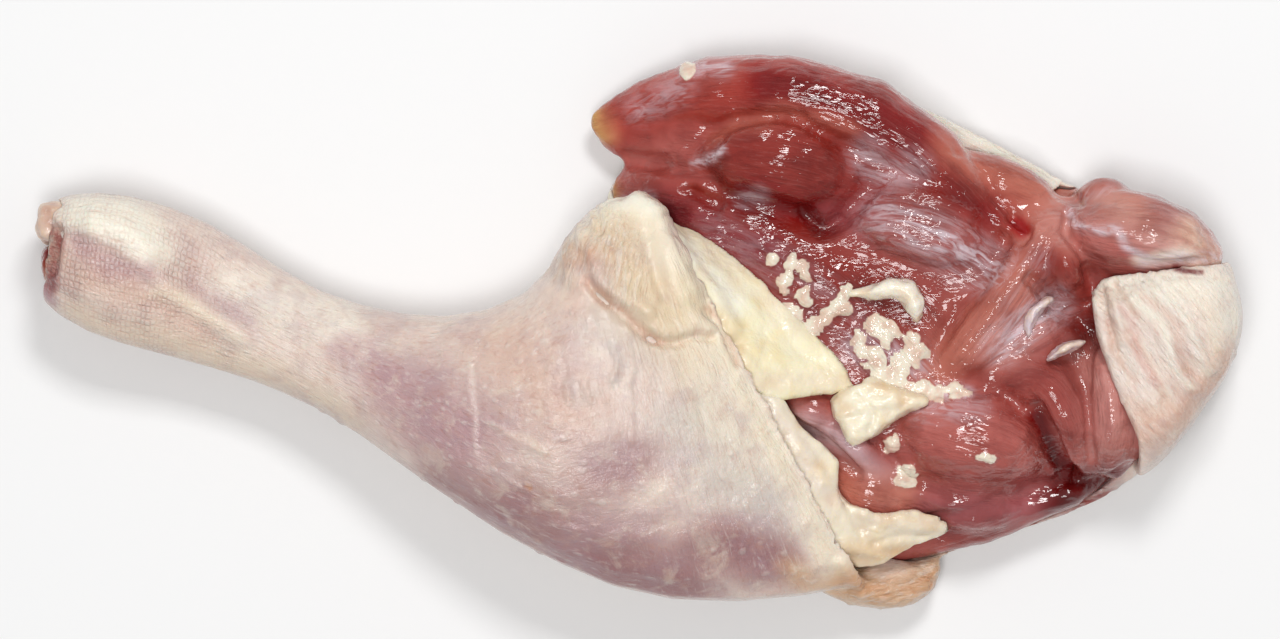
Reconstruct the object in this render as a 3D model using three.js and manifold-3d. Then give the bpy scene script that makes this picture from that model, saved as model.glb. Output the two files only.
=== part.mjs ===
// A raw muscovy duck leg: the drumstick in its skin, and the opened thigh with the flesh side up.
// Millimetres, +Z up. The leg lies on its skin side. X runs from the hock to the hip, Y across the thigh.
import * as THREE from "three";
import { mergeVertices } from "three/addons/utils/BufferGeometryUtils.js";
import Module from "manifold-3d";

const wasm = await Module();
wasm.setup();

// Driving sizes
const SKIN = 2.4; // skin with the fat that stays on it
const GAP = 0.3; // running gap that keeps neighbouring pieces apart
const ROUND_EDGE = 0.5; // a cushion's edge: 1 is a cone, smaller is blunter
const FLAT_EDGE = 0.4;
const BLUNT = 0.55; // how blunt a muscle's ends are: 1 is an ellipsoid, smaller is fuller
const SLEEVE_BACK = 0.9; // 1 is an ellipse, smaller is squarer: the drumstick's upper half
const SLEEVE_BELLY = 0.72; // its lower half, which is flattened by its own weight
const PAST_END = 0.4; // how far the hollow runs past the drumstick's ends, in ribs
const MUSCLE_SIDES = 12;
const MUSCLE_RINGS = 9;
const SLEEVE_SIDES = 23;
const SLEEVE_RINGS = 19;
const OUTLINE_STEPS = 40;
const OUTLINE_RINGS = 7;
const END_STEPS = 28;
const FOLD_STEPS = 36;
const FAT_SHAPE = { edge: 0.3, steps: 26 };
const FAT_RINGS = 9;
const CLOSE_TO = 1e-3;
const FLOOR = 400;

// Drumstick: ribs from the hock to the cut edge of the skin over the knee.
// Each is [upper edge x, y], [lower edge x, y], [top z, bottom z, skew of the crown].
const RIBS = [
  [[-123.1, 27.5], [-125.8, 5.9], [23, 3.5, 0]],
  [[-118.9, 28.6], [-121.4, 2.1], [27, 1, 0.1]],
  [[-111.3, 28.6], [-113.8, -1.7], [29, -0.6, 0.15]],
  [[-102.9, 26.9], [-106, -4], [28, -0.6, 0.15]],
  [[-93.5, 23.5], [-97.6, -6.3], [25, 1, 0.1]],
  [[-84, 18.1], [-89.9, -8.4], [23, 2.6, 0]],
  [[-74.5, 12], [-81.9, -10.9], [22.5, 3.4, 0]],
  [[-65.1, 7.1], [-73.1, -14.5], [23.5, 3, 0]],
  [[-54.6, 4.2], [-64, -19.1], [26, 2, 0]],
  [[-44.1, 2.7], [-53.5, -26.5], [30, 0.8, 0]],
  [[-33.6, 3.8], [-42, -34.4], [35, -0.6, 0]],
  [[-24.1, 7.8], [-28.3, -43.5], [39, -1, 0.05]],
  [[-18.3, 14.1], [-13.7, -50.8], [41, -1, 0.1]],
  [[-13.9, 22.1], [0, -55.9], [41, -1, 0.2]],
  [[-7.3, 26.7], [15.8, -57.5], [40, -1, 0.3]],
  [[-1.3, 28.1], [31.5, -56.7], [37, -0.5, 0.35]],
  [[4.2, 26.2], [47, -54], [33, 0.5, 0.35]],
];
// The layer of fat under the cut edge runs on past the skin and thins out over the thigh.
const FAT_RIBS = [
  ...RIBS.slice(13),
  [[17.2, 20.4], [56.7, -52.3], [28.5, 4, 0.3]],
  [[33.6, 8.2], [66.1, -45.4], [25.5, 6, 0.2]],
  [[47.9, -4.4], [72.5, -37], [22, 8, 0]],
];

const FAT_START = 0.4;

// How far the drumstick's meat runs inside the skin
const CORE_SPAN = [[-121.2, 48.1], [-16.8, 48.1], [0, 23.9], [16.8, -6.5], [29.4, -29.6], [39.9, -49.6],
  [39.9, -77.9], [-121.2, -77.9]];
const CORE_SPAN_Z = [-50, 100];

// Muscles of the opened thigh: [x, y, half width, top z, bottom z] along each one's run.
const MUSCLES = {
  outer_thigh: [[-10.5, 44.3, 4.4, 9.5, 3.4], [6.7, 48.5, 8.2, 19, 4], [22.7, 49.8, 8.8, 25, 4],
    [39.1, 47.7, 9, 27, 4], [55, 40.1, 9, 27, 4], [67.6, 30.4, 7, 26, 5], [76.9, 20.4, 4, 22, 6]],
  inner_thigh: [[10.5, 37.2, 5, 21, 6], [21.4, 35.9, 10.6, 27, 6], [33.2, 33.8, 12, 28.5, 6],
    [44.5, 30.4, 8.6, 26, 6]],
  flap_upper: [[-8.8, 40.9, 3.6, 9, 3.2], [4.2, 40.1, 7, 15, 4], [16.4, 40.1, 7, 21, 5]],
  flap_lower: [[-5.5, 30.4, 3.4, 9, 3.4], [3.4, 30, 6.4, 16, 4], [17.6, 27.9, 7, 22, 5]],
  wet_plateau: [[5, 23.7, 4, 17, 5], [18.9, 20.4, 9.6, 22, 5], [34.9, 12.8, 12.6, 24, 5],
    [49.6, 2.3, 13, 23.5, 5], [60.9, -9.9, 8, 22, 5]],
  fascia_belly: [[39.5, 20.4, 5, 22, 6], [50.8, 23.7, 10.6, 27, 6], [63.8, 20.4, 11.4, 28, 6],
    [74.3, 14.1, 6, 25, 6]],
  long_strap: [[91.1, 26.2, 4, 23, 6], [84.8, 18.3, 8, 27, 6], [76.4, 6.5, 9, 28, 6],
    [67.6, -4.8, 9, 26.5, 6], [60.1, -15.3, 5, 23, 6]],
  top_edge: [[64.3, 36.8, 3.4, 17, 6], [75.6, 30.4, 6, 21, 6], [87.4, 26.2, 5.4, 21, 6]],
  hip_top: [[88.6, 24.1, 5, 25, 5], [97.4, 20.4, 10, 30, 5], [110.9, 18.7, 9, 31, 5],
    [122.6, 13.7, 5, 26, 5]],
  hip_knob: [[91.1, 25.8, 3.4, 17, 5], [97.9, 27.5, 4.8, 22, 5], [104.6, 25.2, 3.4, 17, 5]],
  hip_hang: [[85.3, 20.4, 4.6, 25, 6], [89, 13.7, 7, 28.5, 6], [92.4, 6.5, 4, 24, 6]],
  middle_belly: [[93.2, 4.4, 5, 20, 6], [83.2, -1.5, 8, 25, 6], [70.6, -9.9, 6, 23, 6]],
  front_flap: [[95.8, -1.1, 5, 25, 6], [97.9, -11.5, 8, 28, 6], [98.7, -21.6, 8.4, 28, 6],
    [97.4, -32.1, 6, 21, 6]],
  front_roll: [[70.6, -12, 5, 23, 6], [83.6, -11.1, 8.6, 28, 6], [89.9, -19.9, 7.4, 28.4, 6],
    [93.2, -31.7, 5.4, 22, 6]],
  lower_belly: [[51.2, -19.9, 5, 23, 6], [63, -20.8, 11.6, 28, 6], [76, -24.1, 10.4, 29, 6],
    [84.8, -29.6, 5, 23, 6]],
  lower_front: [[54.6, -31.3, 6, 19, 5], [68.5, -34.2, 9, 22.5, 5], [84, -35.1, 7, 17, 5]],
  knee_small: [[28.6, -15.3, 4, 21, 6], [36.5, -16.6, 6, 24.5, 6], [44.1, -19.9, 4, 22, 6]],
  knee_strap: [[33.6, -18.7, 3.4, 20, 6], [44.5, -23.7, 6, 24.5, 6], [55, -35.1, 4, 20, 6]],
  knee_plane: [[39.5, -30.9, 4, 19, 6], [48.7, -34.2, 8, 22.5, 6], [60.1, -37.2, 4, 18, 6]],
  lower_strip: [[48.7, -49.1, 2.6, 9, 3], [63, -43.7, 4.6, 13, 3], [77.7, -38, 5.4, 16, 3],
    [91.6, -32.5, 5, 16, 3], [101.6, -28.3, 3, 12, 4]],
};
// The meat that all of them sit in, and its end under the folded skin.
const MEAT_BED = [[-10.9, 45.4], [-9.2, 46.8], [3.1, 51.9], [22.1, 57.8], [40.9, 54.8], [55.6, 46.8],
  [67.2, 39.3], [84, 30.9], [96.6, 29.2], [109.2, 24.6], [121, 15.3], [124.3, 2.9], [119.7, -10.7],
  [108.4, -24.6], [96.6, -31.5], [79.8, -40.1], [63, -45.1], [48.3, -48.5], [33.6, -35.9],
  [16.8, -10.7], [2.1, 14.1], [-6.3, 27.9], [-6.3, 30.4], [-3.8, 34.2], [-3.4, 36.3], [-7.1, 38.9],
  [-10.3, 41.8]];
const MEAT_BED_Z = [3, 12];
const MEAT_BED_STEPS = 48;
const MEAT_HEART = [[10.5, 43.9], [27.3, 53.1], [46.2, 48.5], [60.9, 40.1], [77.7, 30], [98.7, 27.1],
  [117.6, 15.3], [120.5, -0.2], [109.2, -21.2], [88.2, -31.7], [65.1, -39.1], [46.2, -40.1],
  [29.4, -19.1], [15.8, 1.9], [6.7, 20.8], [5, 33.4]];
const MEAT_HEART_Z = [4, 23];
const HIP_END = [[95.8, 7.8], [107.1, 13.7], [120.1, 14.1], [124.5, 2.7], [120.5, -9.9], [110.5, -24.1],
  [102.1, -27.9], [97, -14.9]];
const HIP_END_Z = [4, 28.5];

// Skin under the thigh, its fold over the hip end and the lip at the foot of the cut edge.
const UNDERSKIN = [[-9.2, 43.5], [2.1, 50.2], [22.1, 56.1], [40.9, 53.5], [53.1, 50.2], [67.2, 43.7],
  [84, 35.1], [92.8, 30], [107.1, 26.2], [120.5, 17.8], [126.4, 8.2], [126.6, -0.2], [123.5, -9],
  [117.6, -18.3], [107.1, -30.4], [96.6, -37.2], [85, -41.8], [71.4, -45.8], [60.9, -49.8],
  [46.2, -52.7], [27.3, -33.8], [10.5, -4.4], [-0.8, 18.7], [-7.3, 27.1], [-7.1, 30.4], [-3.8, 35.1],
  [-7.1, 39.7]];
const UNDERSKIN_Z = [-1.2, 13];
const FOLD_DOME = [[92, 7.8], [107.1, 16.2], [122.2, 16.6], [126, 8.6], [127, 1.9], [125.4, -5.5],
  [118, -17.8], [107.1, -30.4], [99.1, -32.5], [93.2, -14.9]];
const FOLD_DOME_Z = [-1, 31.5];
const FOLD_EDGE = [[94.1, 10.1], [109.2, 12], [122.6, 13.9], [132.3, 16.6], [132.3, -40.1],
  [107.1, -40.1], [104.6, -29.6], [104.2, -23.3], [98.7, -11.1], [95.5, -1.3]];
const FOLD_EDGE_Z = [9, 40];
const LIP = [[34.9, -51.4, 4, 14, 0], [45.4, -53.1, 6, 15, -0.5], [54.6, -53.8, 5.6, 14, -0.5],
  [60.1, -52.3, 4.2, 12, -0.5], [63, -48.5, 2, 9, 2]];

// Fat that shows beside the cut edge; the layered pieces are parts of one layer under the skin.
const FATS = {
  fat_tongue: { layered: true, z: [12, 40], outline: [[5, 22.5], [17.2, 18.1], [27.7, 10.7],
    [36.1, 0.2], [44.1, -5.2], [47.5, -11.5], [37.8, -12.8], [28.6, -14.7], [21.4, -10.7], [18.1, -2.3],
    [12.6, 4.8], [7.1, 14.1]] },
  fat_flap: { layered: false, z: [18, 27], outline: [[39.9, -14.9], [43.3, -12.2], [48.3, -10.5],
    [53.3, -12.2], [61.3, -15.1], [55, -18.1], [49.1, -22.5], [44.1, -24.6], [41.6, -19.9]] },
  fat_collar: { layered: true, z: [6, 40], outline: [[21.8, -11.5], [29.8, -14.9], [33.6, -20.8],
    [41.2, -27.9], [41.2, -33.8], [48.7, -39.3], [58.4, -38.4], [67.6, -41.6], [58.4, -45.4],
    [48.7, -50.2], [42.4, -48.5], [33.6, -34.2], [26.9, -22.5]] },
};
// Loose ends that lie on the meat
const STRANDS = {
  fat_curl: [[42.8, 7.3, 1.1, 26.5, 18], [48.7, 7.8, 1.5, 27, 18], [54.2, 8.6, 2.6, 28, 18],
    [57.5, 5.5, 2.5, 28.4, 18], [58, 0.8, 1.7, 27.4, 18]],
  tendon_upper: [[86.9, 6.5, 1.1, 27.6, 19], [83.2, 4.4, 1.5, 28, 19], [81.5, 1.1, 1.4, 27.6, 19],
    [81.5, -2.3, 1, 26.6, 19]],
  tendon_lower: [[84.8, -6.9, 0.9, 28.2, 19], [89, -4, 1.3, 29, 19], [93.7, -2.5, 0.9, 28, 19]],
};

// The joint end at the hock: gristle above, the cut sinews below
const KNUCKLE = [[-126.4, 25.4], [-123.9, 26.7], [-120.5, 25.8], [-120.5, 19.1], [-123.3, 17.8],
  [-126.4, 19.1]];
const KNUCKLE_Z = [8, 21];
const STUMP = [[-125.8, 17.4], [-123.1, 18.3], [-120.1, 17.4], [-120.1, 8.2], [-123.9, 7.8],
  [-126, 12]];
const STUMP_Z = [5.5, 19.5];
const END_CUT = { edge: FLAT_EDGE, steps: 16, rings: 6 };

function curve(points, closed = false) {
  const knots = points.map(([x, y, z = 0]) => new THREE.Vector3(x, y, z));
  return new THREE.CatmullRomCurve3(knots, closed, "centripetal");
}

// A closed three.js geometry, its vertices moved by place(), as a solid.
function solid(geometry, place) {
  const bare = new THREE.BufferGeometry();
  const at = geometry.getAttribute("position").clone();
  const point = new THREE.Vector3();
  for (let i = 0; i < at.count; i++) {
    place(point.fromBufferAttribute(at, i));
    at.setXYZ(i, point.x, point.y, point.z);
  }
  bare.setAttribute("position", at);
  bare.setIndex(geometry.getIndex());
  const merged = mergeVertices(bare, CLOSE_TO);
  const triVerts = new Uint32Array(merged.getIndex().array);
  const vertProperties = merged.getAttribute("position").array;
  const made = new wasm.Manifold(new wasm.Mesh({ numProp: 3, vertProperties, triVerts }));
  if (made.volume() > 0) return made;
  for (let i = 0; i < triVerts.length; i += 3) {
    [triVerts[i], triVerts[i + 1]] = [triVerts[i + 1], triVerts[i]];
  }
  return new wasm.Manifold(new wasm.Mesh({ numProp: 3, vertProperties, triVerts }));
}

// A point on a curve, which runs straight on past its ends
function pointOn(line, t) {
  const end = THREE.MathUtils.clamp(t, 0, 1);
  const on = line.getPoint(end);
  return t === end ? on : on.addScaledVector(line.getTangent(end), (t - end) * line.getLength());
}

// A spindle along a run of [x, y, half width, top, bottom], as a muscle lies.
function muscle(run, grow = 0) {
  const spine = curve(run.map(([x, y]) => [x, y]));
  const size = curve(run.map(([, , half, top, bottom]) => [half, top, bottom]));
  const ball = new THREE.SphereGeometry(1, MUSCLE_SIDES, MUSCLE_RINGS);
  return solid(ball, (p) => {
    const along = THREE.MathUtils.clamp(p.y, -1, 1);
    const t = (1 + along) / 2;
    const ring = Math.hypot(p.x, p.z);
    const full = ring > 1e-6 ? ring ** BLUNT / ring : 0;
    const on = spine.getPoint(t);
    const way = spine.getTangent(t);
    const { x: half, y: top, z: bottom } = size.getPoint(t);
    const side = p.x * full * (half + grow);
    const rise = p.z * full * ((top - bottom) / 2 + grow);
    p.set(
      on.x - way.y * side + way.x * along * grow,
      on.y + way.x * side + way.y * along * grow,
      (top + bottom) / 2 + rise,
    );
  });
}

// A cushion whose widest line is a closed outline in plan.
function cushion(outline, [bottom, top], options = {}) {
  const { grow = 0, edge = ROUND_EDGE, rings = OUTLINE_RINGS, steps = OUTLINE_STEPS } = options;
  const rim = curve(outline, true);
  const knots = outline.map(([x, y]) => new THREE.Vector2(x, y));
  const centre = knots.reduce((sum, k) => sum.add(k), new THREE.Vector2()).divideScalar(knots.length);
  const turn = Math.sign(THREE.ShapeUtils.area(knots));
  const ball = new THREE.SphereGeometry(1, steps, rings);
  return solid(ball, (p) => {
    const round = (Math.atan2(p.z, p.x) / (2 * Math.PI) + 1) % 1;
    const ring = Math.hypot(p.x, p.z);
    const share = ring > 1e-6 ? ring ** edge : 0;
    const on = rim.getPoint(round);
    const way = rim.getTangent(round);
    const x = on.x + way.y * grow * turn;
    const y = on.y - way.x * grow * turn;
    p.set(
      THREE.MathUtils.lerp(centre.x, x, share),
      THREE.MathUtils.lerp(centre.y, y, share),
      (top + bottom) / 2 + p.y * ((top - bottom) / 2 + grow),
    );
  });
}

// A loft over ribs; inset draws its walls in, last cuts it short at that rib.
function sleeve(ribs, { inset = 0, first = 0, last = ribs.length - 1, rings = SLEEVE_RINGS } = {}) {
  const upper = curve(ribs.map(([a]) => a));
  const lower = curve(ribs.map(([, b]) => b));
  const size = curve(ribs.map(([, , s]) => s));
  const drum = new THREE.CylinderGeometry(1, 1, 1, SLEEVE_SIDES, rings);
  return solid(drum, (p) => {
    const t = THREE.MathUtils.lerp(first, last, p.y + 0.5) / (ribs.length - 1);
    const a = pointOn(upper, t);
    const b = pointOn(lower, t);
    const { x: top, y: bottom, z: skew } = size.getPoint(THREE.MathUtils.clamp(t, 0, 1));
    const half = a.distanceTo(b) / 2 - inset;
    const middle = a.clone().add(b).divideScalar(2);
    const across = a.sub(b).normalize();
    const squareness = p.z < 0 ? SLEEVE_BELLY : SLEEVE_BACK;
    const u = Math.sign(p.x) * Math.abs(p.x) ** squareness;
    const v = Math.sign(p.z) * Math.abs(p.z) ** squareness;
    const side = half * (u + skew * Math.max(v, 0) * (1 - u * u));
    const rise = ((top - bottom) / 2 - inset) * v;
    p.set(middle.x + across.x * side, middle.y + across.y * side, (top + bottom) / 2 + rise);
  });
}

// A straight-sided block over a plan outline
function block(outline, [bottom, top]) {
  const shape = new THREE.Shape(outline.map(([x, y]) => new THREE.Vector2(x, y)));
  const slab = new THREE.ExtrudeGeometry(shape, { depth: top - bottom, bevelEnabled: false });
  return solid(slab, (p) => p.setZ(p.z + bottom));
}

function joined(solids) {
  return solids.reduce((sum, s) => sum.add(s));
}

// The inside of the drumstick's skin, which runs on past both ends
function hollowForm(inset) {
  return sleeve(RIBS, { inset, first: -PAST_END, last: RIBS.length - 1 + PAST_END });
}

// The drumstick's meat
function coreForm(grow) {
  return hollowForm(SKIN + GAP - grow).intersect(block(CORE_SPAN, CORE_SPAN_Z));
}

// The thigh's meat
function thighForm(grow) {
  return joined([
    cushion(MEAT_BED, MEAT_BED_Z, { grow, edge: FLAT_EDGE, steps: MEAT_BED_STEPS }),
    cushion(MEAT_HEART, MEAT_HEART_Z, { grow }),
    cushion(STUMP, STUMP_Z, { ...END_CUT, grow }),
    cushion(HIP_END, HIP_END_Z, { grow, steps: END_STEPS }),
    ...Object.values(MUSCLES).map((run) => muscle(run, grow)),
  ]);
}

// A piece of fat: its outline, as thick as the layer under the skin, less what is already taken.
function fatForm({ outline, z, layered }, taken) {
  const pad = cushion(outline, z, { ...FAT_SHAPE });
  return (layered ? pad.intersect(layer) : pad).subtract(taken);
}

// The skin under the thigh, with the lip
function traySkin(grow) {
  return cushion(UNDERSKIN, UNDERSKIN_Z, { grow, edge: FLAT_EDGE }).add(muscle(LIP, grow));
}

function skinForm() {
  const dome = cushion(FOLD_DOME, FOLD_DOME_Z, { steps: FOLD_STEPS });
  const fold = dome.intersect(block(FOLD_EDGE, FOLD_EDGE_Z));
  return joined([sleeve(RIBS), traySkin(0), fold]);
}

const aboveFloor = solid(new THREE.BoxGeometry(FLOOR, FLOOR, FLOOR), (p) => p.setZ(p.z + FLOOR / 2));
const thighSpace = thighForm(GAP);
const knuckleSpace = cushion(KNUCKLE, KNUCKLE_Z, { ...END_CUT, grow: GAP });

const forms = {
  skin: skinForm()
    .subtract(hollowForm(SKIN))
    .subtract(thighSpace.add(knuckleSpace))
    .intersect(aboveFloor),
  meat: coreForm(0).add(thighForm(0)).subtract(knuckleSpace),
  hock_knuckle: cushion(KNUCKLE, KNUCKLE_Z, END_CUT),
};
const layer = sleeve(FAT_RIBS, { inset: SKIN + 3 * GAP, first: FAT_START, rings: FAT_RINGS });
let taken = joined([coreForm(GAP), thighSpace, traySkin(GAP)]);
for (const [name, fat] of Object.entries(FATS)) {
  forms[name] = fatForm(fat, taken);
  taken = taken.add(cushion(fat.outline, fat.z, { ...FAT_SHAPE, grow: GAP }));
}
for (const [name, run] of Object.entries(STRANDS)) {
  forms[name] = muscle(run).subtract(taken);
}

const FINISHES = {
  skin: { color: "#dcc3b0", roughness: 0.45, metalness: 0 },
  meat: { color: "#8e3336", roughness: 0.3, metalness: 0 },
  fat_tongue: { color: "#ecdcb4", roughness: 0.4, metalness: 0 },
  fat_collar: { color: "#e9d9b6", roughness: 0.4, metalness: 0 },
  fat_flap: { color: "#efe0bd", roughness: 0.4, metalness: 0 },
  fat_curl: { color: "#f0e2c6", roughness: 0.4, metalness: 0 },
  tendon_upper: { color: "#e6d3cf", roughness: 0.3, metalness: 0 },
  tendon_lower: { color: "#e6d3cf", roughness: 0.3, metalness: 0 },
  hock_knuckle: { color: "#d9b3a0", roughness: 0.35, metalness: 0 },
};

function mesh(name, form) {
  const whole = form.decompose().reduce((a, b) => (a.volume() > b.volume() ? a : b));
  const { vertProperties, triVerts } = whole.getMesh();
  const geometry = new THREE.BufferGeometry();
  geometry.setAttribute("position", new THREE.BufferAttribute(new Float32Array(vertProperties), 3));
  geometry.setIndex(new THREE.BufferAttribute(triVerts, 1));
  geometry.computeVertexNormals();
  const made = new THREE.Mesh(geometry, new THREE.MeshStandardMaterial(FINISHES[name]));
  made.name = name;
  return made;
}

const pieces = new THREE.Group();
for (const [name, form] of Object.entries(forms)) {
  pieces.add(mesh(name, form));
}
// The origin is under the middle of the leg, on the surface that it lies on.
const box = new THREE.Box3().setFromObject(pieces);
const middle = box.getCenter(new THREE.Vector3());
pieces.position.set(-middle.x, -middle.y, -box.min.z);

const leg = new THREE.Group();
leg.add(pieces);

export default leg;
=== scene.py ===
"""A raw muscovy duck leg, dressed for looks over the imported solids.

The drumstick is in its skin, and the thigh lies open with the flesh side up. Everything is in metres, in
the frame of the solids; lengths in the tables are millimetres.
"""

import math

import bmesh
import bpy
import numpy as np
from bpy.props import FloatProperty, FloatVectorProperty, PointerProperty
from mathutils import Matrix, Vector, noise
from mathutils.bvhtree import BVHTree


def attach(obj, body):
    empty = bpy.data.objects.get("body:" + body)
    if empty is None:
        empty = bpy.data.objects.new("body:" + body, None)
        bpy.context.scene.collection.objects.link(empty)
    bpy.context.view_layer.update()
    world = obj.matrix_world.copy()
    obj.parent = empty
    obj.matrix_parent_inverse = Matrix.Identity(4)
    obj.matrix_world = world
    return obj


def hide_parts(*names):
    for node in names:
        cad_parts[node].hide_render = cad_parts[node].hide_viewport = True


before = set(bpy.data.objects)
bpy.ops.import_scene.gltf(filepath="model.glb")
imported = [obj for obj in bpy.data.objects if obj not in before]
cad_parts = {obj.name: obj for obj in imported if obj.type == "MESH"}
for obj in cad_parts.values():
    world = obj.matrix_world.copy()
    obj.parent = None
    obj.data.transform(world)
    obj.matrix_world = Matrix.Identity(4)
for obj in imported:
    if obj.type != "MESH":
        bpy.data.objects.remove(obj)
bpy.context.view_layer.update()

bl_info = {
    "name": "Raw duck leg",
    "version": (1, 0, 0),
    "blender": (4, 5, 0),
    "location": "View3D > Sidebar > Duck leg",
    "description": "Dresses the solids of a raw duck leg with skin, meat and fat",
    "category": "Object",
}

MM = 0.001
MERGE = 1e-6

# Camera: the photo's picture plane and middle, in millimetres
LENS = 200.0
SENSOR = 36.0
PHOTO_WIDE = 1280 * 0.21
PHOTO_HEIGHT = 20.0
PHOTO_MIDDLE = (0.1, 2.7)
# Light: the room's brightness, then each lamp's place and size in metres and its power in watts
ROOM_LIGHT = 0.38
LAMPS = (
    ("overhead", (-0.13, -0.27, 1.6), (0.5, 0.5), 10.8),
    ("softbox", (0.2, 0.72, 1.15), (0.34, 0.28), 7.4),
)
# The white light that a wet film gives back all over, taken off the colour under it
WET_VEIL = 0.022
# The meat below this height, or nearer the hock than this, is out of sight.
MEAT_SIGHT_Z = 7.0
MEAT_SIGHT_X = -16.7
STUMP_X = -120.1
# The share of faces that stays once the ones out of sight are thinned
MEAT_SHARE = 0.62
SKIN_SHARE = 0.5
# A loose bit of a mesh with fewer vertices than this is a crumb.
CRUMB = 100
# Under the meat the skin is at least this thick, in millimetres, so that the even grain leaves no pinholes.
WALL_LEAST = 1.6
FOLLICLES = 90
# Where the skin stands back from the hollow of the hock, over what distance, and how far
HOCK_HOLLOW = [(-124.7, 20.3), (-125.1, 16.5), (-125.5, 13.5)]
HOLLOW_REACH = 5.0
HOLLOW_BACK = 3.0
# Where the scales of the shank end, and over what length
SCALES_END = (-77.6, 22.0)
# The ribs between which the creases turn from along the leg to round it
CALF_RIBS = (12.0, 14.0)
# How far each piece of fat fills out past its solid, and how high its broad and its small lumps stand
FAT_LUMPS = {
    "fat_tongue": (0.4, 0.3, 0.1),
    "fat_flap": (0.35, 0.65, 0.22),
    "fat_collar": (0.3, 0.6, 0.16),
    "fat_curl": (0.15, 0.5, 0.4),
}
# How many times gristle and tendon are smoothed, the colour they flush with and how far they swell
SOFT_ROUNDS = {"gristle": 40, "tendon": 6}
FLUSHED = {"gristle": "flush", "tendon": "membrane"}
THINNER = {"gristle": 0.3, "tendon": -0.08}
# The cut edge of the sleeve: where it runs, the way it wanders, how near it that shows and how far it goes
CUT_EDGE = [(5.1, 23.2), (11, 13.1), (17.3, 1.6), (22.5, -10), (28.8, -22.6), (35.1, -33.1), (42.5, -45.7), (46.7, -54.1)]
CUT_WAY = (0.88, 0.47, 0.0)
CUT_REACH = 4.5
CUT_WANDER = ((7.0, 1.1), (2.4, 0.5))
# Over what distance the fibres of one muscle fade out towards the next
SEAM_FADE = 2.0
GRAIN_FADE = 2.5

# Muscles of the opened thigh: the run of each one in plan, then how far it reaches to each side.
MUSCLES = {
    "outer_thigh": ([(-8.3, 45), (6.8, 49.2), (22.7, 50.5), (39.1, 48.4), (55.1, 40.8), (67.7, 31.2), (76.9, 21.1)], 9),
    "inner_thigh": ([(10.6, 37.9), (21.5, 36.6), (33.2, 34.5), (44.6, 31.2)], 12),
    "flap_upper": ([(-7.1, 42.1), (4.3, 40.8), (16.4, 40.8)], 6),
    "flap_lower": ([(-5.4, 31.2), (3.4, 30.8), (17.7, 28.7)], 6.5),
    "wet_plateau": ([(5.1, 24.5), (19, 21.1), (34.9, 13.5), (49.6, 3), (61, -9.1)], 12),
    "fascia_belly": ([(39.5, 21.1), (50.9, 24.5), (63.9, 21.1), (74.4, 14.8)], 11),
    "long_strap": ([(91.2, 27), (84.9, 19), (76.5, 7.2), (67.7, -4.1), (60.1, -14.6)], 9),
    "top_edge": ([(64.3, 38.3), (75.7, 32.4), (87.4, 27.8)], 6.5),
    "hip_top": ([(88.7, 24.9), (97.5, 21.1), (110.9, 19.4), (122.7, 14.4)], 9.5),
    "hip_hang": ([(85.3, 21.1), (89.1, 14.4), (92.5, 7.2)], 6),
    "middle_belly": ([(93.3, 5.1), (83.2, -0.7), (70.6, -9.1)], 7),
    "front_flap": ([(95.8, -0.3), (97.9, -10.8), (98.8, -20.9), (97.5, -31.4)], 8.4),
    "front_roll": ([(70.6, -11.2), (83.6, -10.4), (89.9, -19.2), (93.3, -31)], 8),
    "lower_belly": ([(51.3, -19.2), (63.1, -20.1), (76.1, -23.4), (84.9, -28.9)], 11),
    "lower_front": ([(54.7, -30.6), (68.5, -33.5), (84.1, -34.3)], 8),
    "knee_small": ([(28.6, -14.6), (36.6, -15.9), (44.2, -19.2)], 5),
    "knee_strap": ([(33.7, -18), (44.6, -23), (55.1, -34.3)], 5),
    "knee_plane": ([(39.5, -30.1), (48.8, -33.5), (60.1, -36.4)], 7),
    "lower_strip": ([(48.8, -48.6), (63.1, -43.6), (77.8, -38.5), (91.6, -33.1), (102.1, -28.5)], 6),
}
# Ribs of the drumstick, from the hock to the cut edge of its skin: upper end, lower end
RIBS = [
    ((-123, 28.2), (-125.7, 6.6)), ((-118.8, 29.3), (-121.3, 2.8)), ((-111.2, 29.3), (-113.8, -0.9)), ((-102.8, 27.6), (-106, -3.3)),
    ((-93.4, 24.2), (-97.6, -5.6)), ((-83.9, 18.8), (-89.8, -7.7)), ((-74.5, 12.7), (-81.8, -10.2)), ((-65, 7.9), (-73, -13.8)),
    ((-54.5, 4.9), (-64, -18.4)), ((-44, 3.5), (-53.5, -25.7)), ((-33.5, 4.5), (-41.9, -33.7)), ((-24.1, 8.5), (-28.3, -42.7)),
    ((-18.2, 14.8), (-13.6, -50.1)), ((-13.8, 22.8), (0.1, -55.1)), ((-7.3, 27.4), (15.8, -56.8)), ((-1.2, 28.9), (31.6, -56)),
    ((4.3, 27), (47.1, -53.2)),
]
SHANK_HEIGHT = 14.0
SHANK_RADIUS = 13.0

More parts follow.
